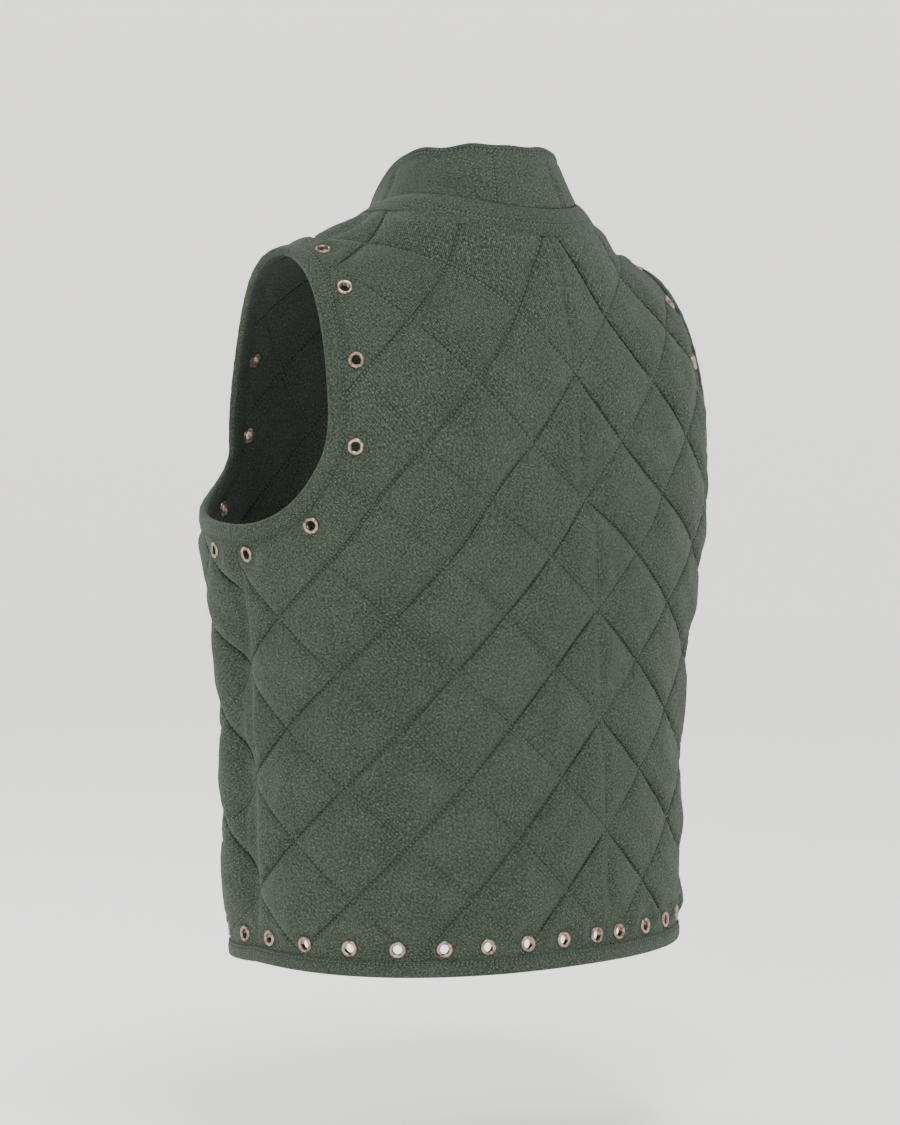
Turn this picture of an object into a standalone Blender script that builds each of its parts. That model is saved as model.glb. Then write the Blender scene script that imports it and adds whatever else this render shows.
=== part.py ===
"""A padded vest: quilted cotton panels with a stand collar, bound edges and metal eyelets.

It keeps the hollow form it has when worn. The front faces -Y, the wearer's left is +X, and the origin
is between the shoulders at the level that carries it. Every panel is a flat pattern, with p measured
round the body from the panel's middle line and q up the cloth from the hem, laid on one worn form.
"""

import math

import bmesh
import bpy
import numpy as np
from mathutils import Matrix, Vector
from mathutils.geometry import delaunay_2d_cdt

# The worn form, a row for each level, in metres. Depths are measured from the side line, the twist
# slides the cloth round the form, and the seam is the half width of the back at that level.
FORM_COLUMNS = ("height", "width", "back", "front", "middle", "twist", "seam")
FORM_ROWS = (
    (0.000, 0.184, 0.151, 0.150, -0.003, 0.033, 0.322),
    (0.120, 0.190, 0.140, 0.141, -0.003, 0.037, 0.318),
    (0.240, 0.199, 0.137, 0.137, -0.003, 0.031, 0.314),
    (0.330, 0.217, 0.146, 0.140, -0.003, 0.018, 0.314),
    (0.430, 0.219, 0.149, 0.130, -0.004, 0.000, 0.312),
    (0.600, 0.207, 0.146, 0.115, 0.012, 0.000, 0.310),
)
SECTION_POWER = 2.3
SHOULDER_HEIGHT = 0.560
ROLL_START = 0.400
ROLL_BLEND = 0.050
RIDGE_HEIGHT = 0.596
RIDGE_SLOPE = 0.27
RIDGE_ROUND = 0.030
SEAM_BEHIND_RIDGE = 0.010

# Soft folds that run down the body: place round it from the middle of the back, half width, depth
# (outwards is positive), and the low and high levels between which the fold shows.
FOLD_ROWS = (
    (0.293, 0.014, -0.0065, 0.000, 0.324),
    (0.328, 0.020, 0.0040, 0.000, 0.324),
    (-0.340, 0.014, -0.0060, 0.000, 0.324),
    (-0.180, 0.016, 0.0030, 0.120, 0.324),
    (-0.207, 0.013, -0.0050, 0.140, 0.324),
    (-0.238, 0.017, 0.0035, 0.160, 0.324),
)
FOLD_RADIUS = 0.18
FOLD_FADE = 0.06
TWIST_FADE = 0.07
TWIST_FRONT = 0.20

# Neckline, seen from above.
NECK_MIDDLE = 0.019
NECK_RADIUS = 0.080
NECK_FRONT_REACH = 0.112
NECK_RISE = 0.0175
NECK_RISE_WIDTH = 0.027
NECK_RISE_BEHIND = 1.3

# The vest hangs a little higher on the wearer's left, by this much for each metre across.
SHOULDER_TILT = 0.050
TILT_BLEND = 0.120

# Armholes on the flat pattern: where the straight upper edge ends and the round underarm starts.
UNDERARM = 0.343
ARMHOLE_BACK = 0.208
ARMHOLE_BACK_BEND = 0.425
ARMHOLE_FRONT = 0.140
ARMHOLE_FRONT_BEND = 0.395
SHOULDER_TIP = 0.203
# The front armhole edge: height up the cloth, then distance from the middle line.
ARMHOLE_FRONT_ROWS = (
    (0.395, 0.140), (0.430, 0.147), (0.465, 0.158), (0.495, 0.174),
    (0.530, 0.193), (0.560, 0.1994), (0.600, 0.1994),
)

# Cloth, quilting and trim.
WALL = 0.003
SEAM_GAP = 0.0003
CLEAR = 0.00035
QUILT_WIDTH = 0.0909
QUILT_HEIGHT = 0.0872
QUILT_START = 0.0134
QUILT_RISE = 0.0050
QUILT_ROUNDNESS = 0.5
QUILT_STEPS = 3
BINDING_WIDE = 0.0125
HEM_BINDING_WIDE = 0.0110
HEM_DIP = 0.012
BINDING_THICK = 0.0012
BINDING_CLEAR = 0.0008
BINDING_FOLD_SHARE = 0.75
FRONT_BINDING_SHARE = 0.85
HEM_BINDING_PAST = 0.0008
FRONT_EDGE = 0.0022
FRONT_BINDING_GAP = 0.0014
BAND_WIDE = 0.018
BAND_THICK = 0.0014
BAND_INSET = 0.0006
COLLAR_THICK = 0.0060
COLLAR_HEIGHT_BACK = 0.052
COLLAR_HEIGHT_FRONT = 0.027
COLLAR_DIP = 0.0065
COLLAR_DIP_AT = 0.75
COLLAR_DIP_WIDTH = 0.15
COLLAR_LEAN = math.radians(24)
COLLAR_CHANNEL = 0.084
COLLAR_SEAM_ASIDE = 0.012
COLLAR_PINCH = 0.0014
COLLAR_PINCH_SHARPNESS = 0.35
COLLAR_CLEAR = 0.00055
COLLAR_BEND = 0.3
COLLAR_CROWN = 0.45
COLLAR_ROWS = (0.0, 0.10, 0.35, 0.70, 0.92)

# Eyelets.
EYELET_BORE = 0.0035
EYELET_BARREL = 0.0041
EYELET_RIM = 0.00625
EYELET_DOME = 0.0010
EYELET_LIP = 0.0002
EYELET_SIDES = 8
EYELET_HOLE = 0.0049
EYELET_HOLE_SIDES = 8
EYELET_FLAT = 0.0082
EYELET_INSET = 0.0215
# Distances of the armhole eyelets up the edge from the side seam.
ARMHOLE_EYELETS = {
    "back": (0.0155, 0.0735, 0.1310, 0.1770, 0.2270, 0.2760),
    "front": (0.0265, 0.1170, 0.1600, 0.2090),
}
HEM_EYELET_RISE = 0.020
HEM_EYELET_STEP = 0.0365
HEM_EYELETS = {"back": 9, "front": 4}
HEM_EYELET_FROM_SEAM = 0.016

# Spacing of the points that carry the shape.
EDGE_STEP = 0.020
ARMHOLE_STEP = 0.0135
NECK_STEP = 0.016
MIDDLE_STEP = 0.028
GUARD_ROW = 0.0140
NECK_GUARD_ROWS = (0.009, 0.0186)
GUARD_CLEAR = 0.0035
FREE_EDGE_FLAT = 0.015
FREE_EDGE_FULL = 0.032
SEAM_FULL = 0.014
EYELET_FULL = 0.022
GRID_CLEAR = 0.0085
INSIDE_STEPS = 2

FORM = {name: np.array([row[i] for row in FORM_ROWS]) for i, name in enumerate(FORM_COLUMNS)}
TURNS = np.linspace(0, 1, 1200) ** 1.3 * np.pi / 2
OUTWARD = {"back": 1.0, "front": -1.0}


def clear_scene():
    """Remove whatever the file held."""
    for thing in list(bpy.data.objects):
        bpy.data.objects.remove(thing, do_unlink=True)


def make_material(name, colour, roughness, metallic):
    """A Principled material of one plain finish."""
    material = bpy.data.materials.new(name)
    material.use_nodes = True
    shader = material.node_tree.nodes["Principled BSDF"]
    shader.inputs["Base Color"].default_value = (*colour, 1.0)
    shader.inputs["Roughness"].default_value = roughness
    shader.inputs["Metallic"].default_value = metallic
    material.diffuse_color = (*colour, 1.0)
    return material


# The worn form.

def smooth(heights, values, at):
    """Natural cubic spline through the rows of a table."""
    steps = np.diff(heights)
    slopes = np.diff(values) / steps
    count = len(heights)
    matrix = np.eye(count)
    right = np.zeros(count)
    for i in range(1, count - 1):
        matrix[i, i - 1:i + 2] = steps[i - 1], 2 * (steps[i - 1] + steps[i]), steps[i]
        right[i] = 6 * (slopes[i] - slopes[i - 1])
    bends = np.linalg.solve(matrix, right)
    at = np.clip(np.asarray(at, float), heights[0], heights[-1])
    i = np.clip(np.searchsorted(heights, at) - 1, 0, count - 2)
    along_row = at - heights[i]
    step = steps[i]
    start = slopes[i] - step * (2 * bends[i] + bends[i + 1]) / 6
    curve = bends[i] / 2 + along_row * (bends[i + 1] - bends[i]) / (6 * step)
    return values[i] + along_row * (start + along_row * curve)


def form_size(name, height):
    """One size of the form at a level."""
    return smooth(FORM["height"], FORM[name], height)


def across(turn):
    """Share of the half width at a turn from the middle line."""
    return np.abs(np.sin(turn)) ** (2 / SECTION_POWER)


def along(turn):
    """Share of the depth at a turn from the middle line."""
    return np.abs(np.cos(turn)) ** (2 / SECTION_POWER)


def quarter_arc(width, depth):
    """Length round one quarter of a section, from the middle line to the side."""
    x = width * across(TURNS)
    y = depth * along(TURNS)
    return np.concatenate(([0], np.cumsum(np.hypot(np.diff(x), np.diff(y)))))


QUARTERS = {
    side: np.array([quarter_arc(w, d)[-1] for w, d in zip(FORM["width"], FORM[side])])
    for side in OUTWARD
}
ROLL_ARC = {
    side: quarter_arc(form_size("width", ROLL_START), form_size(side, ROLL_START)) for side in OUTWARD
}


def half_round(height):
    """Half of the length round a section."""
    return smooth(FORM["height"], QUARTERS["back"], height) + smooth(FORM["height"], QUARTERS["front"], height)


def seam_place(panel, height):
    """Half width of a panel at a level of the side seam."""
    if panel == "back":
        return form_size("seam", height)
    return half_round(height) - form_size("seam", height)


def eased(distance, flat, full):
    """0 up to the flat distance, 1 past the full one, smooth between."""
    share = np.clip((distance - flat) / (full - flat), 0, 1)
    return share * share * (3 - 2 * share)


def round_place(panel, p, height):
    """Signed length round the body, from the middle of the back."""
    twist = form_size("twist", height) * eased(ROLL_START - height, 0, TWIST_FADE)
    if panel == "back":
        return p - twist
    # the front edges hang straight, so the twist fades towards them
    twist = twist * np.clip(np.abs(p) / TWIST_FRONT, 0, 1)
    return np.where(p < 0, -1.0, 1.0) * half_round(height) - p - twist


def roll_sizes(side, turn):
    """Depth and height of the quarter ellipse that rolls over the shoulder."""
    x = form_size("width", ROLL_START) * across(turn)
    depth = form_size(side, ROLL_START) * along(turn)
    rise = RIDGE_HEIGHT - RIDGE_SLOPE * np.hypot(x, RIDGE_ROUND) - ROLL_START
    return depth, rise


def roll_length(side, turn):
    """Length of that quarter ellipse."""
    depth, rise = roll_sizes(side, turn)
    return np.pi / 4 * (3 * (depth + rise) - np.sqrt((3 * depth + rise) * (depth + 3 * rise)))


def place_turn(panel, p, q):
    """Turn round the section, whether it is behind the side line, and the side of the body."""
    level = np.minimum(q, ROLL_START)
    back = smooth(FORM["height"], QUARTERS["back"], level)
    front = smooth(FORM["height"], QUARTERS["front"], level)
    half = back + front
    place = (round_place(panel, p, level) + half) % (2 * half) - half
    far = np.abs(place)
    turn_back = np.interp(far / back * ROLL_ARC["back"][-1], ROLL_ARC["back"], TURNS)
    left_over = (back + front - far) / front
    turn_front = np.interp(left_over * ROLL_ARC["front"][-1], ROLL_ARC["front"], TURNS)
    behind = far <= back
    return np.where(behind, turn_back, turn_front), behind, np.sign(place), place


def fold_swell(place, height):
    """How far the soft folds push the cloth out or in, as a share of the radius."""
    swell = np.zeros(np.shape(place))
    for middle, half, depth, low, high in FOLD_ROWS:
        window = np.clip((height - low) / FOLD_FADE, 0, 1) * np.clip((high - height) / FOLD_FADE, 0, 1)
        swell = swell + depth / FOLD_RADIUS * np.exp(-((place - middle) / half) ** 2) * window
    return swell


def cloth_point(panel, p, q):
    """The middle of the cloth wall, p round from the panel's middle line and q up from the hem."""
    p, q = np.broadcast_arrays(np.asarray(p, float), np.asarray(q, float))
    turn, behind, sign, place = place_turn(panel, p, q)
    reach = ROLL_START + roll_length(panel, turn)
    past = q > reach
    behind = behind ^ past
    rolled = np.where(behind, roll_length("back", turn), roll_length("front", turn))
    level = np.where(past, ROLL_START + rolled - (q - reach), q)
    roll = np.clip((level - ROLL_START) / rolled, 0, 1) * np.pi / 2
    _, rise = roll_sizes("back", turn)
    z = np.where(level < ROLL_START, level, ROLL_START + rise * np.sin(roll))
    swell = 1 + fold_swell(place, z)
    x = form_size("width", z) * across(turn) * sign * swell
    depth = np.where(behind, form_size("back", z), -form_size("front", z))
    y = depth * along(turn) * np.cos(roll) * swell + form_size("middle", z)
    away = np.hypot(x, y - NECK_MIDDLE)
    lift = NECK_RISE * (1 + NECK_RISE_BEHIND * (y - NECK_MIDDLE) / (away + 1e-6))
    lift = lift * np.exp(-((away - NECK_RADIUS) / NECK_RISE_WIDTH) ** 2)
    above = z - ROLL_START
    z = z + lift * np.clip(above / ROLL_BLEND, 0, 1) + SHOULDER_TILT * x * np.clip(above / TILT_BLEND, 0, 1)
    return np.stack((x, y, z - SHOULDER_HEIGHT), -1)


def unit(vectors):
    """Vectors scaled to length 1."""
    return vectors / np.linalg.norm(vectors, axis=-1, keepdims=True)


def cloth_steps(panel, p, q):
    """How far a point of the cloth moves for a unit of p, and for a unit of q."""
    step = 0.0008
    p = np.asarray(p, float)
    q = np.asarray(q, float)
    round_step = cloth_point(panel, p + step, q) - cloth_point(panel, p - step, q)
    up_step = cloth_point(panel, p, q + step) - cloth_point(panel, p, q - step)
    return round_step / (2 * step), up_step / (2 * step)


def cloth_normal(panel, p, q):
    """Outward direction of the cloth."""
    return unit(np.cross(*cloth_steps(panel, p, q)) * -OUTWARD[panel])


def half_steps(panel, side, places):
    """The same steps at places drawn on the half pattern, for the wearer's left (1) or right (-1)."""
    round_step, up_step = cloth_steps(panel, places[:, 0] * side, places[:, 1])
    return round_step * side, up_step


def pattern_vectors(panel, side, places, directions):
    """Steps on the half pattern that move the cloth by the given directions."""
    steps = np.stack(half_steps(panel, side, places), -1)
    square = np.einsum("nij,nik->njk", steps, steps)
    shadow = np.einsum("nij,ni->nj", steps, directions)
    return np.linalg.solve(square, shadow[:, :, None])[:, :, 0]


def cloth_reach(panel, p):
    """How far up the cloth the shoulder seam lies, at a place across the panel."""
    turn, _, _, _ = place_turn(panel, np.asarray(p, float), np.full(np.shape(p), ROLL_START))
    reach = ROLL_START + roll_length(panel, turn)
    return reach - SEAM_BEHIND_RIDGE if panel == "back" else reach + SEAM_BEHIND_RIDGE


def pattern_of_plan(panel, x, y):
    """The pattern place of a point of the upper form that is given from above."""
    z = np.full(np.shape(x), RIDGE_HEIGHT)
    for _ in range(4):
        share = np.abs(x) / form_size("width", z)
        turn = np.arcsin(np.clip(share, 0, 1) ** (SECTION_POWER / 2))
        depth = form_size(panel, z) * along(turn)
        roll = np.arccos(np.clip((y - form_size("middle", z)) * OUTWARD[panel] / depth, 0, 1))
        _, rise = roll_sizes("back", turn)
        z = ROLL_START + rise * np.sin(roll)
    p = np.interp(turn, TURNS, ROLL_ARC[panel])
    return p, ROLL_START + roll_length(panel, turn) * roll / (np.pi / 2)


# The flat pattern of each panel, drawn for the wearer's left half.

def spaced(points, step):
    """Points about a step apart along a polyline, both ends kept."""
    points = np.asarray(points, float)
    lengths = np.concatenate(([0], np.cumsum(np.linalg.norm(np.diff(points, axis=0), axis=1))))
    count = max(2, int(round(lengths[-1] / step)) + 1)
    at = np.linspace(0, lengths[-1], count)
    return np.stack([np.interp(at, lengths, points[:, i]) for i in (0, 1)], -1)


def stepped(panel, points, step, first, last):
    """Points along a seam, measured on the worn cloth, with points at given distances from its ends."""
    points = spaced(points, 0.002)
    worn = cloth_point(panel, *points.T)
    lengths = np.concatenate(([0], np.cumsum(np.linalg.norm(np.diff(worn, axis=0), axis=1))))
    low = max(first)
    high = lengths[-1] - max(last)
    between = np.linspace(low, high, max(2, int(round((high - low) / step)) + 1))
    ends = [0.0, *first[:-1]], [lengths[-1] - gap for gap in last[:-1]][::-1] + [lengths[-1]]
    at = np.array([*ends[0], *between, *ends[1]])
    at.sort()
    return np.stack([np.interp(at, lengths, points[:, i]) for i in (0, 1)], -1)


def armhole_line(panel):
    """Armhole edge from the side seam up to the shoulder tip."""
    turn = np.linspace(0, np.pi / 2, 60)[:, None]
    seam = float(seam_place(panel, UNDERARM)) - SEAM_GAP / 2
    inner = ARMHOLE_BACK if panel == "back" else ARMHOLE_FRONT
    bend = ARMHOLE_BACK_BEND if panel == "back" else ARMHOLE_FRONT_BEND
    under = np.hstack((inner + (seam - inner) * (1 - np.sin(turn)), bend - (bend - UNDERARM) * np.cos(turn)))
    top = float(cloth_reach(panel, SHOULDER_TIP)) - SEAM_GAP / 2
    share = np.linspace(0, 1, 60)[1:]
    height = bend + (top - bend) * share
    edge = inner + (SHOULDER_TIP - inner) * share ** 2
    if panel == "front":
        edge = smooth(*np.array(ARMHOLE_FRONT_ROWS).T, height)
    return np.vstack((under, np.stack((edge, height), -1)))


def neck_line(panel):
    """Neckline from the neck point to the panel's middle line."""
    turn = np.linspace(0, np.pi / 2, 60)
    reach = NECK_RADIUS if panel == "back" else NECK_FRONT_REACH
    x = NECK_RADIUS * np.cos(turn)
    y = NECK_MIDDLE + OUTWARD[panel] * reach * np.sin(turn)
    p, q = pattern_of_plan(panel, x, y)
    start = 0
    line = np.stack((p, q), -1)
    limit = cloth_reach(panel, p) - SEAM_GAP / 2
    keep = q <= limit
    if panel == "front":
        # the front runs over the ridge to the seam behind it, straight across the band
        line = np.vstack(((p[0], limit[0]), line))
        keep = np.concatenate(([True], keep))
    else:
        start = int(np.argmax(keep))
        line = np.vstack(((p[start], limit[start]), line[start + 1:]))
        keep = np.full(len(line), True)
    line = line[keep]
    edge = SEAM_GAP / 2 if panel == "back" else FRONT_EDGE
    line = line[line[:, 0] > edge + 0.002]
    return np.vstack((line, (edge, line[-1, 1])))


def hem_level(panel, p):
    """The hem's place up the cloth. The fronts hang lower than the back, most at their middle."""
    p = np.asarray(p, float)
    if panel == "back":
        return np.zeros(p.shape)
    return -HEM_DIP * (1 - (p / float(seam_place(panel, 0.0))) ** 2)


def pattern(panel):
    """Edges of one half panel, each a run of points, in order round it."""
    edge = SEAM_GAP / 2 if panel == "back" else FRONT_EDGE
    levels = np.linspace(0, UNDERARM, 40)
    side = np.stack((seam_place(panel, levels) - SEAM_GAP / 2, levels), -1)
    across_hem = np.linspace(edge, side[0, 0], 40)
    hem = np.stack((across_hem, hem_level(panel, across_hem)), -1)
    hem[-1] = side[0]
    armhole = armhole_line(panel)
    neck = neck_line(panel)
    across_shoulder = np.linspace(armhole[-1, 0], neck[0, 0], 30)
    shoulder = np.stack((across_shoulder, cloth_reach(panel, across_shoulder) - SEAM_GAP / 2), -1)
    middle = np.array((neck[-1], hem[0]))
    return {
        "hem": spaced(hem, EDGE_STEP),
        "side": stepped(panel, side, EDGE_STEP, (GUARD_ROW,), (GUARD_ROW,)),
        "armhole": spaced(armhole, ARMHOLE_STEP),
        "shoulder": stepped(panel, shoulder, EDGE_STEP, (GUARD_ROW,), NECK_GUARD_ROWS),
        "neck": spaced(neck, NECK_STEP),
        "middle": stepped(panel, middle, MIDDLE_STEP, NECK_GUARD_ROWS, (GUARD_ROW,)),
    }


PATTERN = {panel: pattern(panel) for panel in OUTWARD}


def inward(panel, side, line):
    """Pattern steps that go one metre into the cloth, square to an edge that runs anticlockwise."""
    run = np.gradient(line, axis=0)
    round_step, up_step = half_steps(panel, side, line)
    forward = unit(round_step * run[:, :1] + up_step * run[:, 1:])
    across_edge = np.cross(np.cross(round_step, up_step), forward)
    return pattern_vectors(panel, side, line, unit(across_edge))


def armhole_eyelets(panel, side):
    """Pattern places of the eyelets along one armhole."""
    line = spaced(armhole_line(panel), 0.002)
    lengths = np.arange(len(line)) * np.linalg.norm(line[1] - line[0])
    places = line + inward(panel, side, line) * EYELET_INSET
    at = np.array(ARMHOLE_EYELETS[panel])
    return np.stack([np.interp(at, lengths, places[:, i]) for i in (0, 1)], -1)


def hem_eyelets(panel):
    """Pattern places of the eyelets above the hem, from the side seam towards the middle."""
    seam = float(seam_place(panel, HEM_EYELET_RISE))
    at = seam - HEM_EYELET_FROM_SEAM - HEM_EYELET_STEP * np.arange(HEM_EYELETS[panel])
    return np.stack((at, HEM_EYELET_RISE + hem_level(panel, at)), -1)


EYELETS = {
    (panel, side): {"armhole": armhole_eyelets(panel, side), "hem": hem_eyelets(panel)}
    for panel in OUTWARD for side in (1, -1)
}


# Quilting.

def quilt_axes(p, q):
    """Position across the two sets of stitch lines. Each line is at a whole number."""
    u = p / QUILT_WIDTH
    v = (q - QUILT_START) / QUILT_HEIGHT
    return v + u, v - u


def distance_to(points, line):
    """Distance from each point to the nearest point of a dense line."""
    gaps = points[:, None, :] - line[None, :, :]
    return np.sqrt((gaps ** 2).sum(-1)).min(1)


def worn_distance(panel, side, points, line):
    """Distance from each point to an edge, measured on the worn cloth."""
    dense = spaced(line, 0.003)
    reach = np.linalg.norm(inward(panel, side, dense), axis=1)
    gaps = np.linalg.norm(points[:, None, :] - dense[None, :, :], axis=2)
    nearest = gaps.argmin(1)
    return gaps[np.arange(len(points)), nearest] / np.maximum(reach[nearest], 1)


def quilt_rise(panel, side, points):
    """Height of the padding above the stitched wall."""
    a, b = quilt_axes(points[:, 0], points[:, 1])
    rise = (np.abs(np.sin(np.pi * a)) * np.abs(np.sin(np.pi * b))) ** QUILT_ROUNDNESS * QUILT_RISE
    edges = PATTERN[panel]
    free = ["hem", "armhole", "neck"] + (["middle"] if panel == "front" else [])
    for name in free:
        rise *= eased(worn_distance(panel, side, points, edges[name]), FREE_EDGE_FLAT, FREE_EDGE_FULL)
    for name in ("side", "shoulder"):
        rise *= eased(distance_to(points, spaced(edges[name], 0.003)), 0.0, SEAM_FULL)
    places = np.vstack((EYELETS[panel, side]["armhole"], EYELETS[panel, side]["hem"]))
    return rise * eased(distance_to(points, places), EYELET_FLAT + 0.001, EYELET_FULL)


def inside(points, loop):
    """Whether each point is inside a closed loop."""
    x, y = points[:, 0, None], points[:, 1, None]
    x0, y0 = loop[:, 0], loop[:, 1]
    x1, y1 = np.roll(x0, -1), np.roll(y0, -1)
    crosses = (y0 > y) != (y1 > y)
    with np.errstate(divide="ignore", invalid="ignore"):
        at = x0 + (y - y0) / (y1 - y0) * (x1 - x0)
    return (crosses & (x < at)).sum(1) % 2 == 1


# Panels.

def ring(panel, side, centre, radius, sides):
    """Pattern corners of a polygon that is regular on the worn cloth."""
    turn = np.arange(sides) * 2 * np.pi / sides
    round_step, up_step = half_steps(panel, side, centre[None])
    first = unit(round_step)
    second = unit(np.cross(np.cross(round_step, up_step), first))
    spokes = first * np.cos(turn)[:, None] + second * np.sin(turn)[:, None]
    return centre + radius * pattern_vectors(panel, side, np.repeat(centre[None], sides, 0), spokes)


def thinned(points, kept, clear):
    """Points that stay clear of those already kept."""
    return points[distance_to(points, kept) > clear]


def quilt_grid(spacing, corners):
    """Points on a grid that has the stitch lines among its lines."""
    reach = int(2 * (corners[1].max() / QUILT_HEIGHT + corners[0].max() / QUILT_WIDTH) * spacing) + 2
    a, b = np.meshgrid(np.arange(-reach, reach), np.arange(-reach, reach))
    a = a.ravel() / spacing
    b = b.ravel() / spacing
    return np.stack(((a - b) / 2 * QUILT_WIDTH, (a + b) / 2 * QUILT_HEIGHT + QUILT_START), -1)


def fill(loops, free_points):
    """Triangles between an outline, its holes and free points inside."""
    points = np.vstack(loops + [free_points])
    edges = []
    start = 0
    for loop in loops:
        count = len(loop)
        edges += [(start + i, start + (i + 1) % count) for i in range(count)]
        start += count
    made = delaunay_2d_cdt([Vector(point) for point in points], edges, [], 0, 1e-7)
    source = [origins[0] for origins in made[3]]
    triangles = np.array([[source[i] for i in face] for face in made[2]])
    middles = points[triangles].mean(1)
    keep = inside(middles, loops[0])
    for hole in loops[1:]:
        keep &= ~inside(middles, hole)
    return points, triangles[keep]


def add_solid(name, points, faces, material, collection):
    """A closed mesh object whose faces point out."""
    mesh = bpy.data.meshes.new(name)
    mesh.from_pydata([tuple(point) for point in points], [], [tuple(int(i) for i in face) for face in faces])
    work = bmesh.new()
    work.from_mesh(mesh)
    if work.calc_volume(signed=True) < 0:
        bmesh.ops.reverse_faces(work, faces=work.faces[:])
    work.to_mesh(mesh)
    work.free()
    mesh.materials.append(material)
    mesh.shade_smooth()
    mesh.set_sharp_from_angle(angle=math.radians(40))
    thing = bpy.data.objects.new(name, mesh)
    collection.objects.link(thing)
    return thing


def add_panel(name, panel, side, material, collection):
    """A quilted wall: raised outer points over a plain inside, open at its eyelets."""
    edges = PATTERN[panel]
    outline = np.vstack([edges[key][:-1] for key in ("hem", "side", "armhole", "shoulder", "neck", "middle")])
    centres = np.vstack((EYELETS[panel, side]["armhole"], EYELETS[panel, side]["hem"]))
    holes = [ring(panel, side, centre, EYELET_HOLE, EYELET_HOLE_SIDES)[::-1] for centre in centres]
    flats = np.vstack([ring(panel, side, centre, EYELET_FLAT, EYELET_HOLE_SIDES) for centre in centres])
    guards = []
    free = {"hem": (GUARD_ROW,), "armhole": (GUARD_ROW,), "neck": NECK_GUARD_ROWS}
    if panel == "front":
        free["middle"] = (GUARD_ROW,)
    for key, rows in free.items():
        line = edges[key]
        guards += [line + inward(panel, side, line) * row for row in rows]
    guards = np.vstack(guards)
    guards = guards[inside(guards, outline)]
    for key in edges:
        guards = guards[distance_to(guards, spaced(edges[key], 0.002)) > GUARD_CLEAR]
    guards = thinned(guards, flats, GUARD_CLEAR)
    border = np.vstack([spaced(line, 0.002) for line in edges.values()])
    near = {}
    for layer, spacing in (("outer", QUILT_STEPS), ("inner", INSIDE_STEPS)):
        grid = quilt_grid(spacing, outline.T)
        grid = grid[inside(grid, outline)]
        grid = thinned(grid, border, GRID_CLEAR)
        for key, rows in free.items():
            grid = grid[worn_distance(panel, side, grid, edges[key]) > rows[-1] + GRID_CLEAR * 0.5]
        grid = thinned(grid, np.vstack((flats, guards)), GRID_CLEAR * 0.8)
        grid = thinned(grid, centres, EYELET_FLAT + 0.004)
        near[layer] = fill([outline] + holes, np.vstack((flats, guards, grid)))
    points_out, faces_out = near["outer"]
    points_in, faces_in = near["inner"]
    rise = quilt_rise(panel, side, points_out)
    rim = len(outline) + sum(len(hole) for hole in holes)
    rise[len(outline):rim + len(flats) + len(guards)] = 0.0
    flip = np.array((side, 1.0))
    p, q = (points_out * flip).T
    outer = cloth_point(panel, p, q) + cloth_normal(panel, p, q) * (WALL / 2 + rise)[:, None]
    p, q = (points_in * flip).T
    inner = cloth_point(panel, p, q) - cloth_normal(panel, p, q) * WALL / 2
    shift = len(outer)
    faces = [tuple(face) for face in faces_out]
    faces += [tuple(face[::-1] + shift) for face in faces_in]
    start = 0
    for loop in [outline] + holes:
        count = len(loop)
        for i in range(count):
            here = start + i
            after = start + (i + 1) % count
            faces.append((after, here, here + shift, after + shift))
        start += count
    return add_solid(name, np.vstack((outer, inner)), faces, material, collection)


# Strips that follow an edge.

def edge_frames(parts):
    """Edge points with their direction into the cloth and its face, joined over several panels."""
    places, into, out, stations = [], [], [], []
    for panel, side, line in parts:
        flip = np.array((side, 1.0))
        back = inward(panel, side, line)
        p, q = (line * flip).T
        here = cloth_point(panel, p, q)
        pi, qi = ((line + back * 0.001) * flip).T
        step = cloth_point(panel, pi, qi) - here
        places.append(here)
        into.append(step / np.linalg.norm(step, axis=1, keepdims=True))
        out.append(cloth_normal(panel, p, q))
        stations.append([(panel, side, point, turn) for point, turn in zip(line, back)])
    return np.vstack(places), np.vstack(into), np.vstack(out), sum(stations, [])


def strip_points(frames, offsets):
    """Rings of points at offsets (into the cloth, off its face) from each edge point."""
    places, into, out, stations = frames
    rings = np.zeros((len(places), len(offsets), 3))
    for j, (inset, lift) in enumerate(offsets):
        if inset <= 0:
            rings[:, j] = places + into * inset + out * lift
            continue
        for i, (panel, side, point, turn) in enumerate(stations):
            p, q = (point + turn * inset) * (side, 1.0)
            rings[i, j] = cloth_point(panel, p, q) + cloth_normal(panel, p, q) * lift
    return rings


def loft(rings):
    """Faces between open rings of points, closed at both ends."""
    count, width = rings.shape[:2]
    faces = []
    for i in range(count - 1):
        for j in range(width):
            after = (j + 1) % width
            faces.append((i * width + j, i * width + after, (i + 1) * width + after, (i + 1) * width + j))
    faces.append(tuple(range(width))[::-1])
    faces.append(tuple((count - 1) * width + j for j in range(width)))
    return rings.reshape(-1, 3), faces


def binding_offsets(wide):
    """Section of a folded strip that wraps a cut edge."""
    near = WALL / 2 + BINDING_CLEAR
    far = near + BINDING_THICK
    tip = -CLEAR - BINDING_THICK
    return (
        (wide, near), (wide, far), (tip, far * BINDING_FOLD_SHARE), (tip, -far * BINDING_FOLD_SHARE),
        (wide, -far), (wide, -near), (-CLEAR, -near), (-CLEAR, near),
    )


def nudged(line, start, end):
    """A run of edge points with its ends drawn back along the run."""
    line = line.copy()
    first = line[1] - line[0]
    last = line[-2] - line[-1]
    line[0] += first / np.linalg.norm(first) * start
    line[-1] += last / np.linalg.norm(last) * end
    return line


def add_strip(name, parts, offsets, material, collection):
    """A strip of constant section along an edge."""
    points, faces = loft(strip_points(edge_frames(parts), offsets))
    return add_solid(name, points, faces, material, collection)


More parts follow.
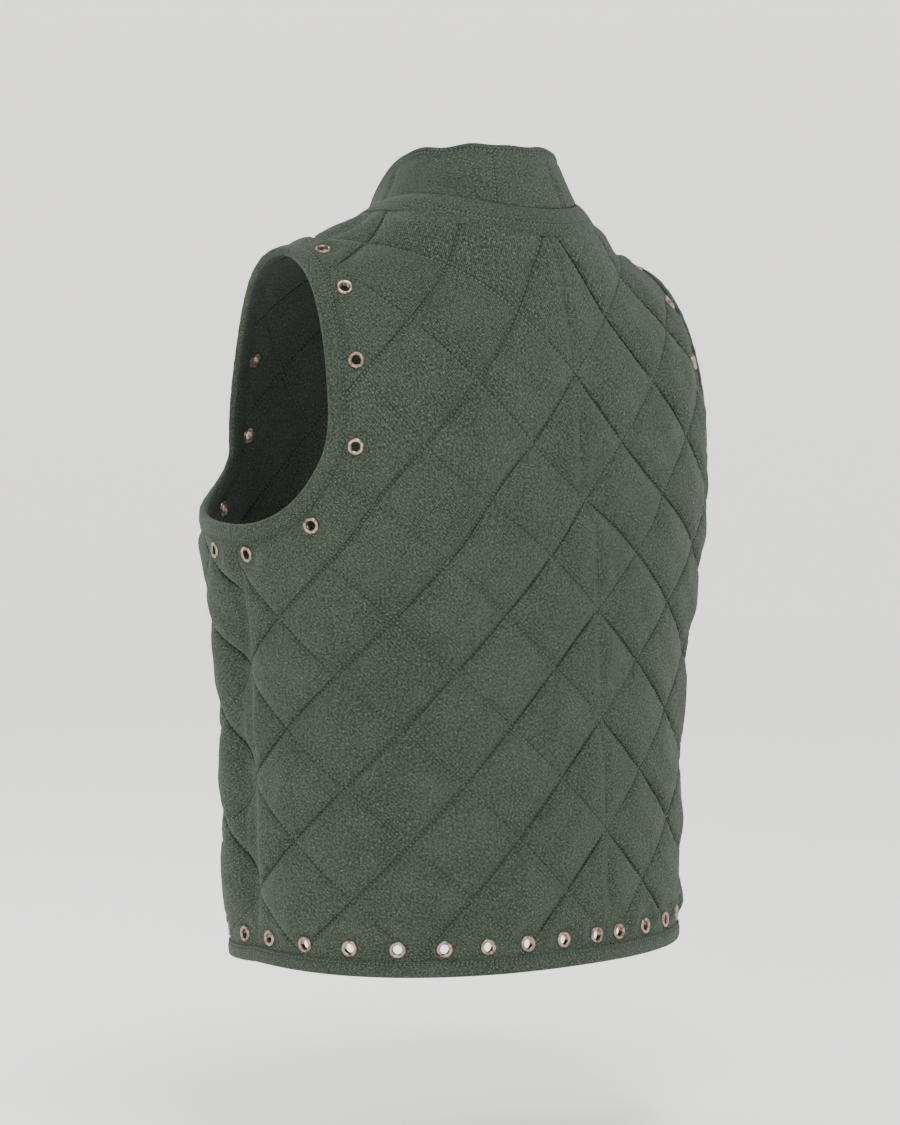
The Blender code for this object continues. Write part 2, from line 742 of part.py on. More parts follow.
def add_armhole_binding(name, side, material, collection):
    """One strip round the armhole, with its ends meeting at the side seam."""
    back = nudged(PATTERN["back"]["armhole"], SEAM_GAP, 0.0)
    front = nudged(PATTERN["front"]["armhole"], SEAM_GAP, 0.0)
    # each strip runs from the underarm over the shoulder, so the front is walked backwards
    parts = edge_frames([("back", side, back)])
    other = edge_frames([("front", side, front)])
    joined = [np.vstack((a, b[::-1][1:])) for a, b in zip(parts[:3], other[:3])]
    stations = parts[3] + other[3][::-1][1:]
    points, faces = loft(strip_points((*joined, stations), binding_offsets(BINDING_WIDE)))
    return add_solid(name, points, faces, material, collection)


def add_hem_binding(name, material, collection):
    """One strip round the hem, from one front edge to the other."""
    front = nudged(PATTERN["front"]["hem"], -HEM_BINDING_PAST, 0.0)
    back = PATTERN["back"]["hem"]
    runs = [
        ("front", 1, front, False), ("back", 1, back, True),
        ("back", -1, back, False), ("front", -1, front, True),
    ]
    pieces = []
    stations = []
    for panel, side, line, backwards in runs:
        frame = edge_frames([(panel, side, line)])
        order = slice(None, None, -1) if backwards else slice(None)
        skip = 0 if not pieces else 1
        pieces.append([part[order][skip:] for part in frame[:3]])
        stations += frame[3][order][skip:]
    joined = [np.vstack(group) for group in zip(*pieces)]
    points, faces = loft(strip_points((*joined, stations), binding_offsets(HEM_BINDING_WIDE)))
    return add_solid(name, points, faces, material, collection)


def add_front_binding(name, side, material, collection):
    """A strip up the front edge, between the hem binding and the neck band."""
    line = PATTERN["front"]["middle"]
    top = line[0, 1] - BAND_WIDE - FRONT_BINDING_GAP
    low = line[-1, 1] + HEM_BINDING_WIDE + FRONT_BINDING_GAP
    between = line[(line[:, 1] < top - 0.004) & (line[:, 1] > low + 0.002)]
    line = np.vstack(((FRONT_EDGE, top), between, (FRONT_EDGE, low)))
    offsets = binding_offsets(BINDING_WIDE * FRONT_BINDING_SHARE)
    return add_strip(name, [("front", side, line)], offsets, material, collection)


def neck_frames():
    """Edge frames round the neckline, from the left front edge behind the neck to the right one."""
    runs = [("front", 1, True), ("back", 1, False), ("back", -1, True), ("front", -1, False)]
    pieces = []
    stations = []
    for panel, side, backwards in runs:
        frame = edge_frames([(panel, side, PATTERN[panel]["neck"])])
        order = slice(None, None, -1) if backwards else slice(None)
        skip = 0 if not pieces else 1
        pieces.append([part[order][skip:] for part in frame[:3]])
        stations += frame[3][order][skip:]
    return (*[np.vstack(group) for group in zip(*pieces)], stations)


def add_neck_band(name, frames, material, collection):
    """A flat strip sewn on round the neckline."""
    low = WALL / 2 + BINDING_CLEAR
    high = low + BAND_THICK
    half = BAND_WIDE / 2
    offsets = (
        (BAND_INSET, low), (BAND_INSET, high), (half, high), (BAND_WIDE, high), (BAND_WIDE, low), (half, low),
    )
    points, faces = loft(strip_points(frames, offsets))
    return add_solid(name, points, faces, material, collection)


def collar_rings(frames):
    """Sections of the stand collar, a padded wall that leans in and has a round top."""
    places, into, out, _ = frames
    base = places - into * COLLAR_CLEAR
    forward = unit(np.gradient(base, axis=0))
    length = np.concatenate(([0], np.cumsum(np.linalg.norm(np.diff(base, axis=0), axis=1))))
    middle = length[-1] / 2
    behind = np.clip((base[:, 1] - NECK_MIDDLE + NECK_RADIUS) / (2 * NECK_RADIUS), 0, 1)[:, None]
    height = COLLAR_HEIGHT_FRONT + (COLLAR_HEIGHT_BACK - COLLAR_HEIGHT_FRONT) * behind
    # the top edge sinks a little on each side of the nape
    height = height - COLLAR_DIP * np.exp(-((behind - COLLAR_DIP_AT) / COLLAR_DIP_WIDTH) ** 2)
    centre = np.array((0.0, NECK_MIDDLE, 0.0))
    to_centre = (centre - base) * (1, 1, 0)
    lean = unit(to_centre) * math.sin(COLLAR_LEAN) + np.array((0, 0, math.cos(COLLAR_LEAN)))
    channel = (length - middle + COLLAR_SEAM_ASIDE) / COLLAR_CHANNEL + 0.5
    pinch = 1 - np.abs(np.sin(np.pi * channel))[:, None] ** COLLAR_PINCH_SHARPNESS
    half = COLLAR_THICK / 2 - COLLAR_PINCH * pinch
    outer, inner = [], []
    control = base + unit(lean - into) * height * COLLAR_BEND
    top = base + lean * height
    for share in COLLAR_ROWS:
        spot = base * (1 - share) ** 2 + control * 2 * share * (1 - share) + top * share ** 2
        rise = unit((control - base) * (1 - share) + (top - control) * share)
        face = unit(np.cross(rise, forward))
        face *= np.sign((face * out).sum(1, keepdims=True))
        if share == 0.0:
            face = out
        outer.append(spot + face * half)
        inner.append(spot - face * half)
    crown = [top + face * half * COLLAR_CROWN, top - face * half * COLLAR_CROWN]
    return np.stack(outer + crown + inner[::-1], 1)


def add_collar(name, frames, material, collection):
    """The stand collar."""
    rings = collar_rings(frames)
    points, faces = loft(rings)
    return add_solid(name, points, faces, material, collection)


# Eyelets.

def eyelet_mesh(material):
    """Half section of a pressed eyelet: a domed rim on each face of the cloth and a barrel between."""
    near = WALL / 2 + CLEAR
    profile = (
        (EYELET_BORE, near + EYELET_DOME), (EYELET_RIM, near + EYELET_LIP), (EYELET_BARREL, near),
        (EYELET_BARREL, -near), (EYELET_RIM, -near - EYELET_LIP), (EYELET_BORE, -near - EYELET_DOME),
    )
    mesh = bpy.data.meshes.new("eyelet")
    count = len(profile)
    edges = [(i, (i + 1) % count) for i in range(count)]
    mesh.from_pydata([(radius, 0.0, height) for radius, height in profile], edges, [])
    mesh.materials.append(material)
    return mesh


def add_eyelet(name, mesh, panel, side, place, collection):
    """One eyelet, turned about the cloth's own direction at its place."""
    p, q = place * (side, 1.0)
    out = Vector(cloth_normal(panel, p, q))
    turn = out.to_track_quat("Z", "Y").to_matrix().to_4x4()
    thing = bpy.data.objects.new(name, mesh)
    thing.matrix_world = Matrix.Translation(Vector(cloth_point(panel, p, q))) @ turn
    screw = thing.modifiers.new("turned", "SCREW")
    screw.angle = 2 * math.pi
    screw.steps = EYELET_SIDES
    screw.render_steps = EYELET_SIDES
    screw.use_merge_vertices = True
    screw.merge_threshold = 0.00005
    collection.objects.link(thing)
    return thing


def build():
    """Make every piece."""
    clear_scene()
    collection = bpy.data.collections.new("padded_vest")
    bpy.context.scene.collection.children.link(collection)
    quilted = make_material("quilted_cotton", (0.060, 0.088, 0.068), 0.9, 0.0)
    trim = make_material("cotton_trim", (0.055, 0.080, 0.062), 0.9, 0.0)
    metal = make_material("eyelet_metal", (0.36, 0.25, 0.20), 0.3, 1.0)
    for side, word in ((1, "left"), (-1, "right")):
        for panel in ("back", "front"):
            add_panel(f"{panel}_{word}", panel, side, quilted, collection)
        add_armhole_binding(f"binding_armhole_{word}", side, trim, collection)
        add_front_binding(f"binding_front_{word}", side, trim, collection)
    add_hem_binding("binding_hem", trim, collection)
    frames = neck_frames()
    add_neck_band("neck_band", frames, trim, collection)
    add_collar("collar", frames, quilted, collection)
    mesh = eyelet_mesh(metal)
    for side, word in ((1, "left"), (-1, "right")):
        for panel in ("back", "front"):
            for row in ("armhole", "hem"):
                for number, place in enumerate(EYELETS[panel, side][row], 1):
                    name = f"eyelet_{row}_{panel}_{word}_{number}"
                    add_eyelet(name, mesh, panel, side, place, collection)


build()
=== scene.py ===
"""The looks of the padded vest: quilted cotton twill, bound edges, a stand collar and metal eyelets."""

import math

import bpy
import bmesh
import numpy as np
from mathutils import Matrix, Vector
from mathutils.geometry import delaunay_2d_cdt


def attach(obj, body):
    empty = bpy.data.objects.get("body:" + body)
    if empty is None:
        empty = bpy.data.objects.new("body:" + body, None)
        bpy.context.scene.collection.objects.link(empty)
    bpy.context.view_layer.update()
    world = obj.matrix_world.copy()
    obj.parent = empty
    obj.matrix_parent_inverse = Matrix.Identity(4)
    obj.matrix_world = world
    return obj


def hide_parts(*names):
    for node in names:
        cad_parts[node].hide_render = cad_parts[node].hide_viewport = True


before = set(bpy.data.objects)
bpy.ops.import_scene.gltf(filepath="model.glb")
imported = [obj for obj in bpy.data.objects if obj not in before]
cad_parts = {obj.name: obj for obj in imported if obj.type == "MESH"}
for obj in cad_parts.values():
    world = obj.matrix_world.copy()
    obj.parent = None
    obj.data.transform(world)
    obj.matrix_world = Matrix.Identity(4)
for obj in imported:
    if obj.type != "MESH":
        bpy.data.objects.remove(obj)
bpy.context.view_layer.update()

# Quilted panels.
# Two backs and two fronts, each two layers of cotton twill with wadding between, stitched through in diamonds.
# The cloth is cut flat, so its shape is worked out on the flat pattern and laid on the worn form.

# The worn form, a row for each level, in metres. Depths are measured from the side line, the twist
# slides the cloth round the form, and the seam is the half width of the back at that level.
FORM_COLUMNS = ("height", "width", "back", "front", "middle", "twist", "seam")
FORM_ROWS = (
    (0.000, 0.184, 0.151, 0.150, -0.003, 0.033, 0.322),
    (0.120, 0.190, 0.140, 0.141, -0.003, 0.037, 0.318),
    (0.240, 0.199, 0.137, 0.137, -0.003, 0.031, 0.314),
    (0.330, 0.217, 0.146, 0.140, -0.003, 0.018, 0.314),
    (0.430, 0.219, 0.149, 0.130, -0.004, 0.000, 0.312),
    (0.600, 0.207, 0.146, 0.115, 0.012, 0.000, 0.310),
)
SECTION_POWER = 2.3
SHOULDER_HEIGHT = 0.560
ROLL_START = 0.400
ROLL_BLEND = 0.050
RIDGE_HEIGHT = 0.596
RIDGE_SLOPE = 0.27
RIDGE_ROUND = 0.030
SEAM_BEHIND_RIDGE = 0.010

# Soft folds that run down the body: place round it from the middle of the back, half width, depth
# (outwards is positive), and the low and high levels between which the fold shows.
FOLD_ROWS = (
    (0.293, 0.014, -0.0065, 0.000, 0.324),
    (0.328, 0.020, 0.0040, 0.000, 0.324),
    (-0.340, 0.014, -0.0060, 0.000, 0.324),
    (-0.180, 0.016, 0.0030, 0.120, 0.324),
    (-0.207, 0.013, -0.0050, 0.140, 0.324),
    (-0.238, 0.017, 0.0035, 0.160, 0.324),
)
FOLD_RADIUS = 0.18
FOLD_FADE = 0.06
TWIST_FADE = 0.07
TWIST_FRONT = 0.20

# Neckline, seen from above.
NECK_MIDDLE = 0.019
NECK_RADIUS = 0.080
NECK_FRONT_REACH = 0.112
NECK_RISE = 0.0175
NECK_RISE_WIDTH = 0.027
NECK_RISE_BEHIND = 1.3

# The vest hangs a little higher on the wearer's left, by this much for each metre across.
SHOULDER_TILT = 0.050
TILT_BLEND = 0.120

# Armholes on the flat pattern: where the straight upper edge ends and the round underarm starts.
UNDERARM = 0.343
ARMHOLE_BACK = 0.208
ARMHOLE_BACK_BEND = 0.425
ARMHOLE_FRONT = 0.140
ARMHOLE_FRONT_BEND = 0.395
SHOULDER_TIP = 0.203
# The front armhole edge: height up the cloth, then distance from the middle line.
ARMHOLE_FRONT_ROWS = (
    (0.395, 0.140), (0.430, 0.147), (0.465, 0.158), (0.495, 0.174),
    (0.530, 0.193), (0.560, 0.1994), (0.600, 0.1994),
)

# Cloth, quilting and trim.
WALL = 0.003
SEAM_GAP = 0.0003
QUILT_WIDTH = 0.0909
QUILT_HEIGHT = 0.0872
QUILT_START = 0.0134
QUILT_RISE = 0.0050
QUILT_STEPS = 20
HEM_DIP = 0.012
FRONT_EDGE = 0.0022

# Eyelets.
EYELET_HOLE = 0.0049
EYELET_HOLE_SIDES = 24
EYELET_FLAT = 0.0082
EYELET_INSET = 0.0215
# Distances of the armhole eyelets up the edge from the side seam.
ARMHOLE_EYELETS = {
    "back": (0.0155, 0.0735, 0.1310, 0.1770, 0.2270, 0.2760),
    "front": (0.0265, 0.1170, 0.1600, 0.2090),
}
HEM_EYELET_RISE = 0.020
HEM_EYELET_STEP = 0.0365
HEM_EYELETS = {"back": 9, "front": 4}
HEM_EYELET_FROM_SEAM = 0.016

# Spacing of the points that carry the shape.
EDGE_STEP = 0.0035
FINE_STEP = 0.002
NEAR_STEP = 0.003
GUARD_ROW = 0.0140
NECK_GUARD_ROWS = (0.009, 0.0186)

FORM = {name: np.array([row[i] for row in FORM_ROWS]) for i, name in enumerate(FORM_COLUMNS)}
TURNS = np.linspace(0, 1, 1200) ** 1.3 * np.pi / 2
OUTWARD = {"back": 1.0, "front": -1.0}


# The worn form.

def smooth(heights, values, at):
    """Natural cubic spline through the rows of a table."""
    steps = np.diff(heights)
    slopes = np.diff(values) / steps
    count = len(heights)
    matrix = np.eye(count)
    right = np.zeros(count)
    for i in range(1, count - 1):
        matrix[i, i - 1:i + 2] = steps[i - 1], 2 * (steps[i - 1] + steps[i]), steps[i]
        right[i] = 6 * (slopes[i] - slopes[i - 1])
    bends = np.linalg.solve(matrix, right)
    at = np.clip(np.asarray(at, float), heights[0], heights[-1])
    i = np.clip(np.searchsorted(heights, at) - 1, 0, count - 2)
    along_row = at - heights[i]
    step = steps[i]
    start = slopes[i] - step * (2 * bends[i] + bends[i + 1]) / 6
    curve = bends[i] / 2 + along_row * (bends[i + 1] - bends[i]) / (6 * step)
    return values[i] + along_row * (start + along_row * curve)


def form_size(name, height):
    """One size of the form at a level."""
    return smooth(FORM["height"], FORM[name], height)


def across(turn):
    """Share of the half width at a turn from the middle line."""
    return np.abs(np.sin(turn)) ** (2 / SECTION_POWER)


def along(turn):
    """Share of the depth at a turn from the middle line."""
    return np.abs(np.cos(turn)) ** (2 / SECTION_POWER)


def quarter_arc(width, depth):
    """Length round one quarter of a section, from the middle line to the side."""
    x = width * across(TURNS)
    y = depth * along(TURNS)
    return np.concatenate(([0], np.cumsum(np.hypot(np.diff(x), np.diff(y)))))


QUARTERS = {
    side: np.array([quarter_arc(w, d)[-1] for w, d in zip(FORM["width"], FORM[side])])
    for side in OUTWARD
}
ROLL_ARC = {
    side: quarter_arc(form_size("width", ROLL_START), form_size(side, ROLL_START)) for side in OUTWARD
}


def half_round(height):
    """Half of the length round a section."""
    return smooth(FORM["height"], QUARTERS["back"], height) + smooth(FORM["height"], QUARTERS["front"], height)


def seam_place(panel, height):
    """Half width of a panel at a level of the side seam."""
    if panel == "back":
        return form_size("seam", height)
    return half_round(height) - form_size("seam", height)


def eased(distance, flat, full):
    """0 up to the flat distance, 1 past the full one, smooth between."""
    share = np.clip((distance - flat) / (full - flat), 0, 1)
    return share * share * (3 - 2 * share)


def round_place(panel, p, height):
    """Signed length round the body, from the middle of the back."""
    twist = form_size("twist", height) * eased(ROLL_START - height, 0, TWIST_FADE)
    if panel == "back":
        return p - twist
    # the front edges hang straight, so the twist fades towards them
    twist = twist * np.clip(np.abs(p) / TWIST_FRONT, 0, 1)
    return np.where(p < 0, -1.0, 1.0) * half_round(height) - p - twist


def roll_sizes(side, turn):
    """Depth and height of the quarter ellipse that rolls over the shoulder."""
    x = form_size("width", ROLL_START) * across(turn)
    depth = form_size(side, ROLL_START) * along(turn)
    rise = RIDGE_HEIGHT - RIDGE_SLOPE * np.hypot(x, RIDGE_ROUND) - ROLL_START
    return depth, rise


def roll_length(side, turn):
    """Length of that quarter ellipse."""
    depth, rise = roll_sizes(side, turn)
    return np.pi / 4 * (3 * (depth + rise) - np.sqrt((3 * depth + rise) * (depth + 3 * rise)))


def place_turn(panel, p, q):
    """Turn round the section, whether it is behind the side line, and the side of the body."""
    level = np.minimum(q, ROLL_START)
    back = smooth(FORM["height"], QUARTERS["back"], level)
    front = smooth(FORM["height"], QUARTERS["front"], level)
    half = back + front
    place = (round_place(panel, p, level) + half) % (2 * half) - half
    far = np.abs(place)
    turn_back = np.interp(far / back * ROLL_ARC["back"][-1], ROLL_ARC["back"], TURNS)
    left_over = (half - far) / front
    turn_front = np.interp(left_over * ROLL_ARC["front"][-1], ROLL_ARC["front"], TURNS)
    behind = far <= back
    return np.where(behind, turn_back, turn_front), behind, np.sign(place), place


def fold_swell(place, height):
    """How far the soft folds push the cloth out or in, as a share of the radius."""
    swell = np.zeros(np.shape(place))
    for middle, half, depth, low, high in FOLD_ROWS:
        window = np.clip((height - low) / FOLD_FADE, 0, 1) * np.clip((high - height) / FOLD_FADE, 0, 1)
        swell = swell + depth / FOLD_RADIUS * np.exp(-((place - middle) / half) ** 2) * window
    return swell


def cloth_point(panel, p, q):
    """The middle of the cloth wall, p round from the panel's middle line and q up from the hem."""
    p, q = np.broadcast_arrays(np.asarray(p, float), np.asarray(q, float))
    turn, behind, sign, place = place_turn(panel, p, q)
    reach = ROLL_START + roll_length(panel, turn)
    past = q > reach
    behind = behind ^ past
    rolled = np.where(behind, roll_length("back", turn), roll_length("front", turn))
    level = np.where(past, ROLL_START + rolled - (q - reach), q)
    roll = np.clip((level - ROLL_START) / rolled, 0, 1) * np.pi / 2
    _, rise = roll_sizes("back", turn)
    z = np.where(level < ROLL_START, level, ROLL_START + rise * np.sin(roll))
    swell = 1 + fold_swell(place, z)
    x = form_size("width", z) * across(turn) * sign * swell
    depth = np.where(behind, form_size("back", z), -form_size("front", z))
    y = depth * along(turn) * np.cos(roll) * swell + form_size("middle", z)
    away = np.hypot(x, y - NECK_MIDDLE)
    lift = NECK_RISE * (1 + NECK_RISE_BEHIND * (y - NECK_MIDDLE) / (away + 1e-6))
    lift = lift * np.exp(-((away - NECK_RADIUS) / NECK_RISE_WIDTH) ** 2)
    above = z - ROLL_START
    z = z + lift * np.clip(above / ROLL_BLEND, 0, 1) + SHOULDER_TILT * x * np.clip(above / TILT_BLEND, 0, 1)
    return np.stack((x, y, z - SHOULDER_HEIGHT), -1)


def unit(vectors):
    """Vectors scaled to length 1."""
    return vectors / np.linalg.norm(vectors, axis=-1, keepdims=True)


def cloth_steps(panel, p, q):
    """How far a point of the cloth moves for a unit of p, and for a unit of q."""
    step = 0.0008
    p = np.asarray(p, float)
    q = np.asarray(q, float)
    round_step = cloth_point(panel, p + step, q) - cloth_point(panel, p - step, q)
    up_step = cloth_point(panel, p, q + step) - cloth_point(panel, p, q - step)
    return round_step / (2 * step), up_step / (2 * step)


def cloth_normal(panel, p, q):
    """Outward direction of the cloth."""
    return unit(np.cross(*cloth_steps(panel, p, q)) * -OUTWARD[panel])


def half_steps(panel, side, places):
    """The same steps at places drawn on the half pattern, for the wearer's left (1) or right (-1)."""
    round_step, up_step = cloth_steps(panel, places[:, 0] * side, places[:, 1])
    return round_step * side, up_step


def pattern_vectors(panel, side, places, directions):
    """Steps on the half pattern that move the cloth by the given directions."""
    steps = np.stack(half_steps(panel, side, places), -1)
    square = np.einsum("nij,nik->njk", steps, steps)
    shadow = np.einsum("nij,ni->nj", steps, directions)
    return np.linalg.solve(square, shadow[:, :, None])[:, :, 0]


def cloth_reach(panel, p):
    """How far up the cloth the shoulder seam lies, at a place across the panel."""
    turn, _, _, _ = place_turn(panel, np.asarray(p, float), np.full(np.shape(p), ROLL_START))
    reach = ROLL_START + roll_length(panel, turn)
    return reach - SEAM_BEHIND_RIDGE if panel == "back" else reach + SEAM_BEHIND_RIDGE


def pattern_of_plan(panel, x, y):
    """The pattern place of a point of the upper form that is given from above."""
    z = np.full(np.shape(x), RIDGE_HEIGHT)
    for _ in range(4):
        share = np.abs(x) / form_size("width", z)
        turn = np.arcsin(np.clip(share, 0, 1) ** (SECTION_POWER / 2))
        depth = form_size(panel, z) * along(turn)
        roll = np.arccos(np.clip((y - form_size("middle", z)) * OUTWARD[panel] / depth, 0, 1))
        _, rise = roll_sizes("back", turn)
        z = ROLL_START + rise * np.sin(roll)
    p = np.interp(turn, TURNS, ROLL_ARC[panel])
    return p, ROLL_START + roll_length(panel, turn) * roll / (np.pi / 2)


# The flat pattern of each panel, drawn for the wearer's left half.

def run_along(points):
    """Length along a run of points, up to each of them."""
    return np.concatenate(([0], np.cumsum(np.linalg.norm(np.diff(points, axis=0), axis=1))))


def picked(at, lengths, points):
    """Points of the pattern at given lengths of a run."""
    return np.stack([np.interp(at, lengths, points[:, i]) for i in (0, 1)], -1)


def spaced(points, step):
    """Points about a step apart along a polyline, both ends kept."""
    points = np.asarray(points, float)
    lengths = run_along(points)
    count = max(2, int(round(lengths[-1] / step)) + 1)
    return picked(np.linspace(0, lengths[-1], count), lengths, points)


def stepped(panel, points, step, first, last):
    """Points along a seam, measured on the worn cloth, with points at given distances from its ends."""
    points = spaced(points, FINE_STEP)
    lengths = run_along(cloth_point(panel, *points.T))
    low = max(first)
    high = lengths[-1] - max(last)
    between = np.linspace(low, high, max(2, int(round((high - low) / step)) + 1))
    ends = [0.0, *first[:-1]], [lengths[-1] - gap for gap in last[:-1]][::-1] + [lengths[-1]]
    at = np.array([*ends[0], *between, *ends[1]])
    at.sort()
    return picked(at, lengths, points)


def armhole_line(panel):
    """Armhole edge from the side seam up to the shoulder tip."""
    turn = np.linspace(0, np.pi / 2, 60)[:, None]
    seam = float(seam_place(panel, UNDERARM)) - SEAM_GAP / 2
    inner = ARMHOLE_BACK if panel == "back" else ARMHOLE_FRONT
    bend = ARMHOLE_BACK_BEND if panel == "back" else ARMHOLE_FRONT_BEND
    under = np.hstack((inner + (seam - inner) * (1 - np.sin(turn)), bend - (bend - UNDERARM) * np.cos(turn)))
    top = float(cloth_reach(panel, SHOULDER_TIP)) - SEAM_GAP / 2
    share = np.linspace(0, 1, 60)[1:]
    height = bend + (top - bend) * share
    edge = inner + (SHOULDER_TIP - inner) * share ** 2
    if panel == "front":
        edge = smooth(*np.array(ARMHOLE_FRONT_ROWS).T, height)
    return np.vstack((under, np.stack((edge, height), -1)))


def neck_line(panel):
    """Neckline from the neck point to the panel's middle line."""
    turn = np.linspace(0, np.pi / 2, 60)
    reach = NECK_RADIUS if panel == "back" else NECK_FRONT_REACH
    x = NECK_RADIUS * np.cos(turn)
    y = NECK_MIDDLE + OUTWARD[panel] * reach * np.sin(turn)
    p, q = pattern_of_plan(panel, x, y)
    line = np.stack((p, q), -1)
    limit = cloth_reach(panel, p) - SEAM_GAP / 2
    keep = q <= limit
    if panel == "front":
        # the front runs over the ridge to the seam behind it, straight across the band
        line = np.vstack(((p[0], limit[0]), line))
        keep = np.concatenate(([True], keep))
    else:
        start = int(np.argmax(keep))
        line = np.vstack(((p[start], limit[start]), line[start + 1:]))
        keep = np.full(len(line), True)
    line = line[keep]
    edge = SEAM_GAP / 2 if panel == "back" else FRONT_EDGE
    line = line[line[:, 0] > edge + 0.002]
    return np.vstack((line, (edge, line[-1, 1])))


def hem_level(panel, p):
    """The hem's place up the cloth. The fronts hang lower than the back, most at their middle."""
    p = np.asarray(p, float)
    if panel == "back":
        return np.zeros(p.shape)
    return -HEM_DIP * (1 - (p / float(seam_place(panel, 0.0))) ** 2)


def pattern(panel):
    """Edges of one half panel, each a run of points, in order round it."""
    edge = SEAM_GAP / 2 if panel == "back" else FRONT_EDGE
    levels = np.linspace(0, UNDERARM, 40)
    side = np.stack((seam_place(panel, levels) - SEAM_GAP / 2, levels), -1)
    across_hem = np.linspace(edge, side[0, 0], 40)
    hem = np.stack((across_hem, hem_level(panel, across_hem)), -1)
    hem[-1] = side[0]
    armhole = armhole_line(panel)
    neck = neck_line(panel)
    across_shoulder = np.linspace(armhole[-1, 0], neck[0, 0], 30)
    shoulder = np.stack((across_shoulder, cloth_reach(panel, across_shoulder) - SEAM_GAP / 2), -1)
    middle = np.array((neck[-1], hem[0]))
    return {
        "hem": spaced(hem, EDGE_STEP),
        "side": stepped(panel, side, EDGE_STEP, (GUARD_ROW,), (GUARD_ROW,)),
        "armhole": spaced(armhole, EDGE_STEP),
        "shoulder": stepped(panel, shoulder, EDGE_STEP, (GUARD_ROW,), NECK_GUARD_ROWS),
        "neck": spaced(neck, EDGE_STEP),
        "middle": stepped(panel, middle, EDGE_STEP, NECK_GUARD_ROWS, (GUARD_ROW,)),
    }


PATTERN = {panel: pattern(panel) for panel in OUTWARD}


def inward(panel, side, line):
    """Pattern steps that go one metre into the cloth, square to an edge that runs anticlockwise."""
    run = np.gradient(line, axis=0)
    round_step, up_step = half_steps(panel, side, line)
    forward = unit(round_step * run[:, :1] + up_step * run[:, 1:])
    across_edge = np.cross(np.cross(round_step, up_step), forward)
    return pattern_vectors(panel, side, line, unit(across_edge))


def armhole_eyelets(panel, side):
    """Pattern places of the eyelets along one armhole."""
    line = spaced(armhole_line(panel), FINE_STEP)
    lengths = np.arange(len(line)) * np.linalg.norm(line[1] - line[0])
    places = line + inward(panel, side, line) * EYELET_INSET
    return picked(ARMHOLE_EYELETS[panel], lengths, places)


def hem_eyelets(panel):
    """Pattern places of the eyelets above the hem, from the side seam towards the middle."""
    seam = float(seam_place(panel, HEM_EYELET_RISE))
    at = seam - HEM_EYELET_FROM_SEAM - HEM_EYELET_STEP * np.arange(HEM_EYELETS[panel])
    return np.stack((at, HEM_EYELET_RISE + hem_level(panel, at)), -1)


EYELETS = {
    (panel, side): {"armhole": armhole_eyelets(panel, side), "hem": hem_eyelets(panel)}
    for panel in OUTWARD for side in (1, -1)
}


# Quilting.

def quilt_axes(p, q):
    """Position across the two sets of stitch lines. Each line is at a whole number."""
    u = p / QUILT_WIDTH
    v = (q - QUILT_START) / QUILT_HEIGHT
    return v + u, v - u


def distance_to(points, line):
    """Distance from each point to the nearest point of a dense line."""
    gaps = points[:, None, :] - line[None, :, :]
    return np.sqrt((gaps ** 2).sum(-1)).min(1)


def worn_distance(panel, side, points, line):
    """Distance from each point to an edge, measured on the worn cloth."""
    dense = spaced(line, NEAR_STEP)
    reach = np.linalg.norm(inward(panel, side, dense), axis=1)
    gaps = np.linalg.norm(points[:, None, :] - dense[None, :, :], axis=2)
    nearest = gaps.argmin(1)
    return gaps[np.arange(len(points)), nearest] / np.maximum(reach[nearest], 1)


INSIDE_RISE = 0.45
INSIDE_DIP = 0.6
ACROSS_SHARE = 0.30
FIRST_POWER = 0.5
SECOND_POWER = 0.6
UNEVEN = 0.16
PUCKER = 0.00075
PUCKER_LENGTH = 0.0105
PUCKER_START = 0.0015
PUCKER_FADE = 0.007
PAD_SIDE = 0.063
WRINKLE = 0.00040
STITCH_DIP = 0.0012
DIP_WIDTH = 0.0028
SECOND_DIP = 0.6
DIP_UNDER_TRIM = 0.25
# How far the pads stay down. From trim they start at the first distance and are full at the second, and
# from side and shoulder seams, eyelets and the centre back seam they are full at the distance given.
TRIM_FLAT = 0.0125
TRIM_CLEAR = 0.026
SEAM_CLEAR = 0.011
EYELET_CLEAR = 0.019
CENTRE_SEAM_CLEAR = 0.008
CENTRE_SEAM_SHARE = 0.55


